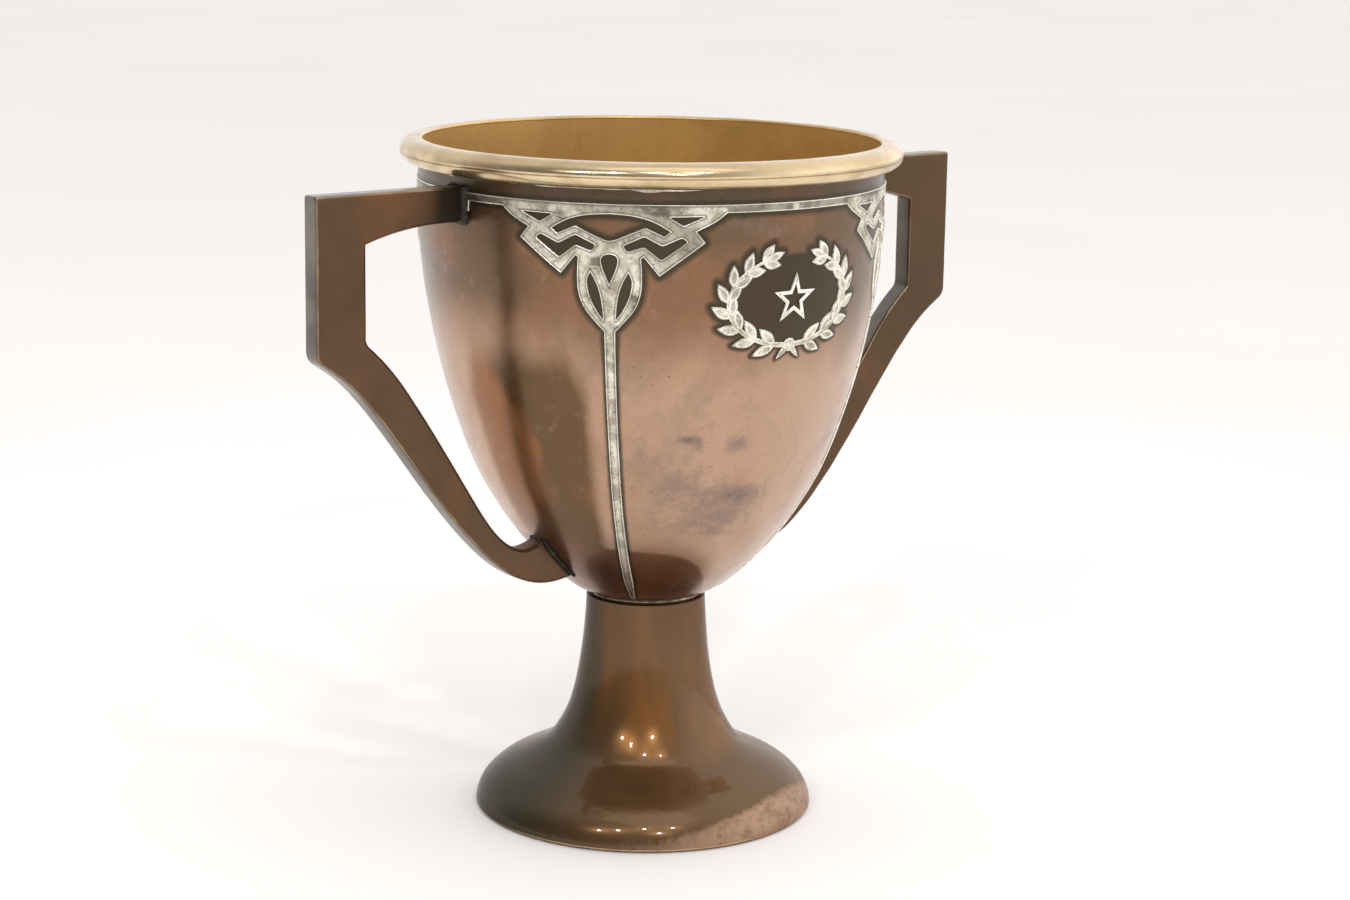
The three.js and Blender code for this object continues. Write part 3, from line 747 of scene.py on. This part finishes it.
def grey_solder():
    p = Paint("dull_solder")
    mottle = p.noise(3.5, 6, 0.66, warp=0.6)
    c = p.mix(p.ramp(mottle, 0.38, 0.68), rgb(40, 37, 32), rgb(66, 63, 56))
    c = p.mix(p.ramp(p.noise(1.6, 5, 0.7), 0.50, 0.66, 0, 0.75), c, rgb(36, 32, 26))
    # painted highlight: pale grey streaks on the dark solder
    c = p.mix(p.ramp(p.noise(2.4, 4, 0.6, (1, 1, 0.3)), 0.62, 0.68, 0, 0.7), c, rgb(150, 148, 140))
    n = p.bump(p.noise(1.4, 5, 0.7), 0.12)
    n = p.bump(mottle, 0.2, n)
    return p.finish(c, 0.8, p.ramp(mottle, 0.3, 0.7, 0.28, 0.5), n)


PATINA, INSIDE, LACQUER, HANDLE = patina(), bare_inside(), lacquered(), handle_bronze()
BRASS, EDGE, SILVER, SOLDER = rim_brass(), edge_copper(), silver(), grey_solder()

# ---- silver on the bowl
# (inset, height off the bowl, edge value) from the cut wall of a plate to its top face
SILVER_LEVELS = [(0, -0.25, 0.2), (0, 0.36, 0.8), (0.09, 0.54, 1.0), (0.26, 0.58, 1.0), (0.42, 0.42, -0.9),
                 (0.64, 0.42, -0.7)]
# (degrees from -Y, height, half width, half height)
TARNISH = [(-36, 238, 9, 3), (-84, 236, 8, 5), (-60, 234, 5, 3), (-29, 224, 5, 4), (-50, 219, 4, 4),
           (-40, 206, 4, 5), (28, 238, 12, 3), (52, 226, 6, 6), (80, 238, 9, 4), (110, 238, 12, 3),
           (136, 222, 7, 5), (170, 238, 12, 3), (215, 237, 12, 4), (226, 214, 5, 7), (250, 238, 8, 3)]
HALO = 3.3  # width of the dark stain round the silver
halo_lines = []


def note_halo(loops, degrees):
    """Keeps the outlines of a silver piece, for the stain that make_bowl puts round them."""
    for loop in loops:
        pts = resample(loop, 0.5)
        halo_lines.append(lay(pts[:, 0], pts[:, 1], 0.0, degrees))


def near(spots, a, z):
    """Sum of soft spots (degrees, height, half width, half height, strength or 1) at angle a
    and height z."""
    out = np.zeros(len(a))
    for deg, h, w, t, *strength in spots:
        x = np.radians(swing(a, deg)) * 80
        out += (strength or [1])[0] * np.exp(-((x / w) ** 2) - ((z - h) / t) ** 2)
    return out


def make_overlay():
    for where, turn in MOTIFS:
        flipped = where in ("front_right", "back_left")
        loops = [np.array(l) * ((-1 if flipped else 1), 1) for l in [corner_outline()] + motif_holes]
        v, f, e = plate(loops, SILVER_LEVELS, 1.0 / fine)
        note_halo(loops, turn + OVERLAY_TURN)
        joint = np.abs(v[:, 0]) > QUARTER / 2 - 0.7  # the two halves of a band meet flush
        joint &= (v[:, 0] < 0) == flipped
        joint &= (v[:, 1] > BAND_LOW + 0.6) & (v[:, 1] < BAND_TOP - 0.6)
        v[:, 2] = np.where(joint, np.minimum(v[:, 2], 0.42), v[:, 2])
        e = np.where(joint, 0, e)
        uneven = hills(v[:, 0] / 9, v[:, 1], 11, (20, 60), 0.03) * (v[:, 2] > 0)
        pts = lay(v[:, 0], v[:, 1], v[:, 2] + uneven, turn + OVERLAY_TURN)
        nodes = [f"overlay_motif_{where}", f"overlay_stem_{where}", f"overlay_band_{where.split('_')[0]}"]
        tarnish = near(TARNISH, np.arctan2(pts[:, 0], -pts[:, 1]), pts[:, 2] / MM)
        build(f"silver_overlay_{where}", pts, f, nodes, [SILVER],
              attrs={"edge": e, "tarnish": tarnish}, flat_angle=50)


def make_emblem():
    parts, outlines = [], []
    for loop, rib, lift in wreath:
        levels = [(0, -0.25, 0.0), (0, 0.34 + lift, 0.8), (0.09, 0.46 + lift, 1.0), (0.22, 0.50 + lift, 0.7)]
        v, f, e = plate([loop], levels, 0.55 / fine)
        loop = resample(loop, 0.6)
        top = v[:, 2] > 0.3
        if rib is not None:
            at, turn, size = rib
            c, s = math.cos(turn), math.sin(turn)
            d = (v[:, :2] - at) @ np.array([[c, -s], [s, c]])
            away = np.clip(distance(v[:, :2], [loop]), 0, 1.2) / 1.2
            v[:, 2] += top * (0.30 * away - 0.24 * np.exp(-((d[:, 1] / 0.24) ** 2)) * (d[:, 0] < size * 0.86))
            e = np.where(top, np.exp(-((away - 0.55) / 0.4) ** 2), e)
        outlines.append(loop + (0, EMBLEM_Z))
        v[:, 1] += EMBLEM_Z
        parts.append((lay(v[:, 0], v[:, 1], v[:, 2], EMBLEM_TURN), f, {"edge": e}))
    v, f, a = join_parts(parts)
    build("silver_wreath", v, f, ["emblem_wreath"], [SILVER], attrs=a, flat_angle=50)
    for loop in outlines:
        halo_lines.append(lay(loop[:, 0], loop[:, 1], 0.0, EMBLEM_TURN))
    loops = [s + (0, EMBLEM_Z) for s in star]
    v, f, e = plate(loops, [(0, -0.25, 0), (0, 0.5, 0.8), (0.12, 0.66, 1.0), (0.4, 0.72, 0.8)], 0.6 / fine)
    note_halo(loops, EMBLEM_TURN)
    build("silver_star", lay(v[:, 0], v[:, 1], v[:, 2], EMBLEM_TURN), f, ["emblem_star"],
          [SILVER], attrs={"edge": e}, flat_angle=50)


make_overlay()
make_emblem()

# ---- the shells
# (degrees from -Y, height, half width, half height, strength)
STAINS = [(-26.6, 155.2, 4.0, 1.5, 1.4), (-23.6, 152.8, 1.8, 2.0, 1.1), (-12.5, 153.0, 5.4, 3.6, 0.85),
          (-6, 133, 11, 3.2, 0.6), (-14, 126, 22, 12, 0.85), (-28, 138, 7, 7, 0.45),
          (-38, 148, 9, 12, 0.25), (-24, 168, 14, 8, 0.2),
          (-24, 187, 5, 3, 0.3), (-14, 232, 14, 5, 0.5), (30, 150, 12, 9, 0.5), (62, 178, 9, 7, 0.6),
          (120, 140, 14, 8, 0.6), (150, 196, 11, 8, 0.5), (190, 150, 12, 10, 0.5), (215, 122, 12, 7, 0.6),
          (-100, 205, 12, 10, 0.5)]
# (degrees from -Y, strength) of the golden brown streaks up the bowl; the strongest, near the left handle, is
# a painted reflection of a dark room on that side
STREAKS_AND_REFLECTIONS = [(-74, 1.0), (106, 0.7), (70, 0.5), (-112, 0.15)]


def make_bowl():
    many, few = int(768 * fine), int(384 * fine)
    low = evenly([(r, z) for r, z in bowl_line if z < 183], 1.0 / fine)
    high = evenly([(r, z) for r, z in bowl_line if low[-1][1] <= z <= 247], 0.7 / fine)
    high = high[high[:, 1] <= 246.4]
    outer = np.vstack([low, high[1:]])
    lip = [(NECK, z) for z in np.arange(246.8, 253.0, 0.5)]
    wall = inset(np.vstack([outer, lip]), WALL)[::-1]
    wall = evenly(wall[(wall[:, 1] > 86.2)], 1.6 / fine)
    base = [(0, BASE)] + [(r, BASE) for r in np.linspace(4, 20.4, 9)]
    floor = [(r, wall[-1][1]) for r in np.linspace(wall[-1][0] - 2, 2, 9)] + [(0, wall[-1][1])]
    rows = base + [tuple(p) for p in outer] + [tuple(p) for p in wall] + floor
    n_low = len(base) + len(low)
    cols = [1] + [few] * (n_low - 1) + [many] * (len(high) - 1) + [few] * len(wall) + [few] * 9 + [1]
    n_out = len(base) + len(outer)

    def skin(k, a, z, r):
        if len(base) <= k < n_out + len(wall):
            return bowl_skin(a, z)[0] + (r - bowl_radius(z))
        return np.full(len(a), r)

    verts, faces, start = turned(rows, cols, skin)
    split = start[n_out]
    mats = [1 if min(f) >= split else 0 for f in faces]
    lines = np.vstack(halo_lines)
    tree = KDTree(len(lines))
    for i, v in enumerate(lines):
        tree.insert(v, i)
    tree.balance()
    halo = np.zeros(len(verts))
    for _, turn in MOTIFS:
        i = np.nonzero((verts[:split, 2] > 198 * MM) & (verts[:split, 2] < 237 * MM))[0]
        x = np.arctan2(verts[i, 0], -verts[i, 1]) - math.radians(turn + OVERLAY_TURN)
        x = (x + math.pi) % (2 * math.pi) - math.pi
        x *= bowl_radius(verts[i, 2] / MM)
        i, x = i[np.abs(x) < 35], x[np.abs(x) < 35]
        halo[i[within(np.c_[x, verts[i, 2] / MM], small_holes)]] = 1
    for i in range(start[len(base)], split):
        reach = np.interp(verts[i][2] / MM, (182, 200), (1.9, HALO))
        halo[i] = max(halo[i], 1 - tree.find(verts[i])[2] / (reach * MM))
    a, z = np.arctan2(verts[:, 0], -verts[:, 1]), verts[:, 2] / MM
    oval = ((a - math.radians(EMBLEM_TURN)) * 84 / 25) ** 2 + ((z - EMBLEM_Z) / 15.4) ** 2
    ground = 0.95 * np.clip((1.25 - oval) / 0.3, 0, 1)
    neck = 0.5 * np.clip((z - 239) / 1.2, 0, 1)
    outside = np.arange(len(verts)) < split
    halo = np.where(outside, np.maximum(np.maximum(halo, ground), neck), 0)
    # partly painted reflection: the strongest streak darkens the bowl near the left handle
    streak_and_reflection = sum(k * np.clip((23 - np.abs(np.degrees(a) - d)) / 8, 0, 1) for d, k in STREAKS_AND_REFLECTIONS)
    streak_and_reflection *= np.clip((z - 84) / 8, 0, 1) * np.interp(z, (168, 192), (1, 0.2))
    # painted reflection: how far up the reddish-brown patch low on the bowl reaches, standing in for the foot
    # mirrored there
    dip = sum(np.exp(-(((np.degrees(a) - 14) % 180 - k) / 26) ** 2) for k in (0, 180))
    low = np.clip((110.5 - 26 * dip - z + hills(a, z, 9, (40, 90), 0.8)) / 5 + 0.5, 0, 1)
    stain = np.clip(near(STAINS, a, z), 0, 1)
    values = {"halo": halo, "streak_and_reflection": streak_and_reflection * outside, "low": low * outside, "stain": stain * outside}
    build("bronze_bowl", verts, faces, ["bowl_shell"], [PATINA, INSIDE], mats, values,
          flat_angle=50)


def oval_section(mid, half, steps):
    t = np.arange(steps) * 2 * math.pi / steps
    return np.c_[mid[0] + half[0] * np.cos(t), mid[1] + half[1] * np.sin(t)]


def rim_section():
    """The rolled lip cut across: flush with the inner wall, round outside, with a groove along
    its middle. Also how deep in the groove each point is, from 0 to 1."""
    t = np.linspace(-math.pi / 2, math.pi / 2, int(52 * fine))
    outer = np.c_[87.0 + 5.3 * np.cos(t), 249.45 + 4.55 * np.sin(t)]
    groove = np.exp(-(((outer[:, 1] - 248.9) / 0.36) ** 2))
    outer[:, 0] -= 0.16 * groove
    t = np.linspace(math.pi / 2, math.pi, 7)
    corner = np.c_[84.95 + 0.95 * np.cos(t), 253.05 + 0.95 * np.sin(t)]
    inner = [(84.02, 252.8), (84.15, 252.55), (84.4, 252.3), (84.5, 249.0), (84.6, 246.3)]
    section = np.vstack([outer, corner, inner, [(85.2, 245.6), (86.2, 245.2)]])
    return section, np.r_[groove, np.zeros(len(section) - len(outer))]


def ring(name, node, mats, section, wobble, seed, cols, dent=0.0, marks=None, lined=False):
    """A ring about Z with the given section, a closed line of (radius, height) in mm that runs
    anticlockwise. A lined ring has the second material on its inner side."""
    a = np.arange(cols) * 2 * math.pi / cols
    steps, mid = len(section), section.mean(0)
    half = np.abs(section - mid).max(0)
    rng = np.random.default_rng(seed)
    w = sum(np.sin(k * a + rng.uniform(0, 6.28)) * rng.uniform(0.3, 1) / math.sqrt(k) for k in range(1, 40))
    u = sum(np.sin(k * a + rng.uniform(0, 6.28)) * rng.uniform(0.3, 1) / math.sqrt(k) for k in range(2, 60))
    w, u = 0.3 * w[:, None], 0.3 * u[:, None]
    r = mid[0] + (section[:, 0] - mid[0]) * (1 + wobble * w / half[0]) + dent * u
    z = mid[1] + (section[:, 1] - mid[1]) * (1 + wobble * u / half[1]) + dent * w
    verts = np.stack([r * np.sin(a)[:, None], -r * np.cos(a)[:, None], z], axis=2).reshape(-1, 3) * MM
    faces = []
    for i in range(cols):
        p, q = i * steps, (i + 1) % cols * steps
        faces += [(p + j, q + j, q + (j + 1) % steps, p + (j + 1) % steps) for j in range(steps)]
    inside = [int(lined and r0 < 84.3 and z0 < 253.6) for r0, z0 in section]
    attrs = None if marks is None else {"groove": np.tile(marks, cols)}
    build(name, verts, faces, [node], mats, inside * cols, attrs, flat_angle=0)


def make_rings():
    n = int(512 * fine)
    section, groove = rim_section()
    seam = oval_section((86.2, 245.05), (0.36, 0.3), 10)
    edge = oval_section((61.75, 0.84), (0.9, 0.8), 16)
    joint = oval_section((20.95, 83.32), (0.38, 0.3), 16)
    ring("rim_bead_ring", "rim_bead", [BRASS, INSIDE], section, 0.06, 21, n, 0.05, groove,
         True)
    ring("rim_seam_solder", "rim_bead", [SILVER], seam, 0.75, 27, 2 * n, 0.45)
    ring("foot_edge_bead", "foot_edge_ring", [EDGE], edge, 0.03, 22, n)
    ring("neck_solder_ring", "joint_solder_ring", [SILVER], joint, 0.4, 23, n, 0.08)


def make_foot():
    outer = evenly(spline(FOOT, 500), 0.9 / fine)
    # The minus sign puts this side WALL outside the FOOT line, so it is the side that shows.
    second = evenly(inset(outer, -WALL)[::-1], 1.8 / fine)
    n = int(384 * fine)
    rows = [tuple(p) for p in outer] + [(20.4, 83.0), (18.6, 83.0)] + [tuple(p) for p in second]

    def skin(k, a, z, r):
        return r + hills(a, z, 5, (30, 90), 0.05) * np.clip((z - 4) / 8, 0, 1)

    verts, faces, start = turned(rows, [n] * len(rows), skin)
    last = start[-1]
    faces += [(last + j, last + (j + 1) % n, (j + 1) % n, j) for j in range(n)]
    a, z = np.arctan2(verts[:, 0], -verts[:, 1]), verts[:, 2] / MM
    # painted shade: how much the left flank of the foot is darkened
    shade = np.clip(1.2 - np.abs(swing(a, -106)) / 56, 0, 1) * np.interp(z, (20, 50), (1, 0.75))
    edge = 5.5 + 7.5 * np.exp(-((swing(a, 22) / 40) ** 2))
    worn = np.clip((edge - z) / 5 + 0.5, 0, 1) * np.exp(-((swing(a, 12) / 58) ** 2))
    build("bronze_foot", verts, faces, ["foot_shell"], [LACQUER],
          attrs={"shade": shade, "worn": worn}, flat_angle=50)


# ---- the handles
THICK = 8.6  # of a handle, across
ROUND = 1.3  # radius of its edges


def bezier(p0, p1, p2, p3, n):
    t = np.linspace(0, 1, n + 1)[1:, None]
    p0, p1, p2, p3 = map(np.array, (p0, p1, p2, p3))
    return list(map(tuple, (1 - t)**3 * p0 + 3 * (1 - t)**2 * t * p1 + 3 * (1 - t) * t * t * p2 + t**3 * p3))


def bulge(p0, p1, p2, n):
    t = np.linspace(0, 1, n + 1)[1:, None]
    p0, p1, p2 = map(np.array, (p0, p1, p2))
    return list(map(tuple, (1 - t)**2 * p0 + 2 * (1 - t) * t * p1 + t * t * p2))


def on_bowl(z):
    """(radius, height) of a point 0.1 mm off the bowl at height z, where the handles are."""
    gap = 0.1
    r, nr, nz = bowl_skin(np.array([math.pi / 2]), np.array([float(z)]))
    return (float(r[0] + gap * nr[0]), float(z + gap * nz[0]))


def handle_outline():
    """Outline of the right handle, (out from the axis, height), starting at its upper end."""
    top, low = 241.4, [on_bowl(z) for z in np.linspace(94.6, 109.6, 12)]
    pts = [(85.7, 228.8), (85.7, top), (145.1, top)]
    pts += bulge((145.1, top), (146.1, top), (146.1, 240.4), 5) + [(146.1, 187.6)]
    pts += bulge((146.1, 187.6), (146.1, 184.6), (143.6, 182.9), 6) + [(137.6, 178.8)]
    pts += bezier((137.6, 178.8), (128, 172.2), (116.5, 156.5), (109.4, 147.2), 16)
    pts += bezier((109.4, 147.2), (101, 135.8), (90.6, 121.8), (80.4, 111.4), 16)
    pts += bezier((80.4, 111.4), (71.8, 102.4), (60, 92.6), (46, 93.2), 14)
    pts += bulge((46, 93.2), (42, 93.4), low[0], 5)[:-1] + low
    pts += bulge(low[-1], (56.2, 106.6), (60.2, 107.4), 5)
    pts += bezier((60.2, 107.4), (68.6, 109.2), (75.2, 119.2), (80.3, 127), 12)
    pts += bezier((80.3, 127), (88.4, 139.6), (98, 155), (107.4, 168.2), 16)
    pts += bezier((107.4, 168.2), (112.4, 175.4), (117.4, 181.6), (124.6, 187.8), 10)
    pts += bulge((124.6, 187.8), (126.2, 189.2), (126.2, 191.2), 5) + [(126.2, 223.6)]
    return pts + bulge((126.2, 223.6), (108, 229.9), (85.7, 228.8), 14)[:-1]


def make_handle(side, sign):
    """One handle: a plate for its front half, and the same turned round for the back, joined."""
    h, r = THICK / 2, ROUND
    levels = [(0, 0, 0)] + [(r - r * math.cos(t), h - r + r * math.sin(t), math.sin(2 * t) ** 2)
                            for t in np.linspace(0, math.pi / 2, 8)]
    v, f, e = plate([np.array(handle_outline())], levels, 1.6 / fine)
    wob = hills(v[:, 0] / 14, v[:, 1], 31 if sign > 0 else 32, (12, 45), 0.07)
    z = v[:, 2] + wob * (v[:, 2] > h - 0.5)
    front = np.c_[sign * v[:, 0], -sign * z, v[:, 1]] * MM
    back = np.c_[sign * v[:, 0], sign * z, v[:, 1]] * MM
    gap = np.hypot(v[:, 0], z) - bowl_radius(v[:, 1])
    # painted shade: how close each point is to the bowl, for the dark painted where handle and bowl meet
    root = np.clip(1.2 - gap / np.interp(v[:, 1], (110, 140), (5, 16)), 0, 1)
    root *= np.interp(v[:, 1], (110, 140), (0.6, 1))
    # painted reflection: 1 on the handle's sides, where the pale grey is painted
    side_reflection = np.clip((h - v[:, 2]) / r, 0, 1) ** 1.5
    n = len(v)
    faces = list(f) + [tuple(i + n for i in q[::-1]) for q in f]
    values = {"edge": np.r_[e, e], "root": np.r_[root, root], "side_reflection": np.r_[side_reflection, side_reflection]}
    ob = build(f"handle_{side}_bar", np.vstack([front, back]), faces, [f"handle_{side}"],
               [HANDLE], attrs=values, flat_angle=0)
    bm = bmesh.new()
    bm.from_mesh(ob.data)
    bmesh.ops.remove_doubles(bm, verts=bm.verts, dist=0.01 * MM)
    bm.to_mesh(ob.data)
    bm.free()
    ob.data.set_sharp_from_angle(angle=math.radians(35))


def fillet(name, node, sign, z0, z1, size, seed):
    """Solder run round a handle's end, concave, uneven, in the corner between it and the bowl."""
    rng = np.random.default_rng(seed)
    loop = resample([(-THICK / 2, z0), (THICK / 2, z0), (THICK / 2, z1), (-THICK / 2, z1)], 0.35 / fine)
    s = np.arange(len(loop)) / len(loop) * 2 * math.pi
    w = sum(np.sin(k * s + rng.uniform(0, 6.28)) * rng.uniform(0.3, 1) / k**0.6 for k in range(1, 26)) * 0.28
    out = np.array([(math.copysign(1, x) if abs(abs(x) - THICK / 2) < 1e-6 else 0,
                     (z > z1 - 1e-6) * 1.0 - (z < z0 + 1e-6)) for x, z in loop])
    out /= np.maximum(np.hypot(*out.T), 1e-6)[:, None]
    ends = np.abs(out[:, 1])
    f = np.clip(size * (1 + 0.4 * w) * (1 - 0.6 * ends), 0.25, size * 1.25)
    rings, k = [], 9
    for j in range(k):
        th = j / (k - 1) * math.pi / 2
        rings.append((loop + out * (f * (1 - math.sin(th)))[:, None], f * (1 - math.cos(th)) + 0.02))
    rings.append((loop - out * 0.5, f * 0.98))
    rings.append((loop - out * 0.5, f * 0 - 0.5))
    rings.append((loop + out * f[:, None], f * 0 - 0.35))
    n = len(loop)
    verts = np.vstack([lay(p[:, 0], p[:, 1], h, 90 * sign) for p, h in rings])
    faces = []
    for a in range(len(rings)):
        p, q = a * n, (a + 1) % len(rings) * n
        faces += [(p + i, p + (i + 1) % n, q + (i + 1) % n, q + i) for i in range(n)]
    build(name, verts, faces, [node], [SOLDER], flat_angle=60)


make_bowl()
make_rings()
make_foot()
for side, sign in (("left", -1), ("right", 1)):
    make_handle(side, sign)
    fillet(f"solder_run_upper_{side}", f"solder_upper_{side}", sign, 228.6, 241.5, 2.2, 41 + sign)
    fillet(f"solder_run_lower_{side}", f"solder_lower_{side}", sign, 94.2, 109.8, 0.85, 51 + sign)


# ---- floor and light
def floor_material():
    p = Paint("floor_paper")
    c = p.mix(p.ramp(p.noise(300, 2), 0.4, 0.6), rgb(245, 242, 241), rgb(247, 244, 243))
    return p.finish(c, 0.0, 0.75, p.bump(p.noise(2, 3), 0.02), Specular_IOR_Level=0.2)


def make_floor():
    me = bpy.data.meshes.new("floor")
    s = 6.0
    me.from_pydata([(-s, -s, 0), (s, -s, 0), (s, s, 0), (-s, s, 0)], [], [(0, 1, 2, 3)])
    me.materials.append(floor_material())
    new_object("floor", me)


def lamp(name, place, aim, size, watts):
    """A square lamp; its place and aim are given as for from_view, its size in metres."""
    data = bpy.data.lights.new(name, "AREA")
    data.shape, data.size, data.size_y, data.energy = "RECTANGLE", size, size, watts
    ob = new_object(name, data)
    place, aim = from_view(place), from_view(aim)
    ob.location = place
    ob.rotation_euler = (aim - place).to_track_quat("-Z", "Y").to_euler()


def make_world():
    """A pale room: brighter to the right and behind the cup, darker to the left and behind
    the camera."""
    w = bpy.data.worlds.new("room")
    bpy.context.scene.world = w
    w.use_nodes = True
    t = w.node_tree
    t.nodes.clear()
    direction = t.nodes.new("ShaderNodeTexCoord").outputs["Generated"]

    def toward(v, low, high, a, b):
        dot = t.nodes.new("ShaderNodeVectorMath")
        dot.operation = "DOT_PRODUCT"
        t.links.new(direction, dot.inputs[0])
        dot.inputs[1].default_value = from_view(v).normalized()
        r = t.nodes.new("ShaderNodeMapRange")
        r.interpolation_type = "SMOOTHSTEP"
        t.links.new(dot.outputs["Value"], r.inputs["Value"])
        for k, x in zip(("From Min", "From Max", "To Min", "To Max"), (low, high, a, b)):
            r.inputs[k].default_value = x
        return r.outputs[0]

    def times(a, b):
        m = t.nodes.new("ShaderNodeMath")
        m.operation = "MULTIPLY"
        t.links.new(a, m.inputs[0])
        t.links.new(b, m.inputs[1])
        return m.outputs[0]

    dark_left = toward((-1.0, -0.6, 0.0), 0.42, 0.97, 1.0, 0.3)
    near_dark = toward((-0.15, -0.9, 0.35), 0.30, 0.95, 1.0, 0.38)
    right = toward((0.9, 0.5, 0.15), 0.3, 0.95, 1.0, 1.5)
    strength = times(times(dark_left, near_dark), right)
    bg, out = t.nodes.new("ShaderNodeBackground"), t.nodes.new("ShaderNodeOutputWorld")
    bg.inputs["Color"].default_value = (1.05, 1.038, 1.028, 1)
    t.links.new(strength, bg.inputs["Strength"])
    t.links.new(bg.outputs[0], out.inputs["Surface"])


make_floor()
make_world()
lamp("overhead", (0.2, -0.8, 2.4), (0, -1.0, 0.1), 1.6, 7.0)
for i, (x, y, z) in enumerate(((0.75, -1.5, 1.95), (0.05, -1.7, 1.95), (-0.6, -1.75, 1.6), (0.4, -1.75, 1.25),
                                (-0.95, -1.5, 1.25))):
    lamp(f"small_lamp_{i}", (x, y, z), (0, 0, 0.05), 0.09, 4.0)

bpy.context.scene.view_settings.view_transform = "Standard"
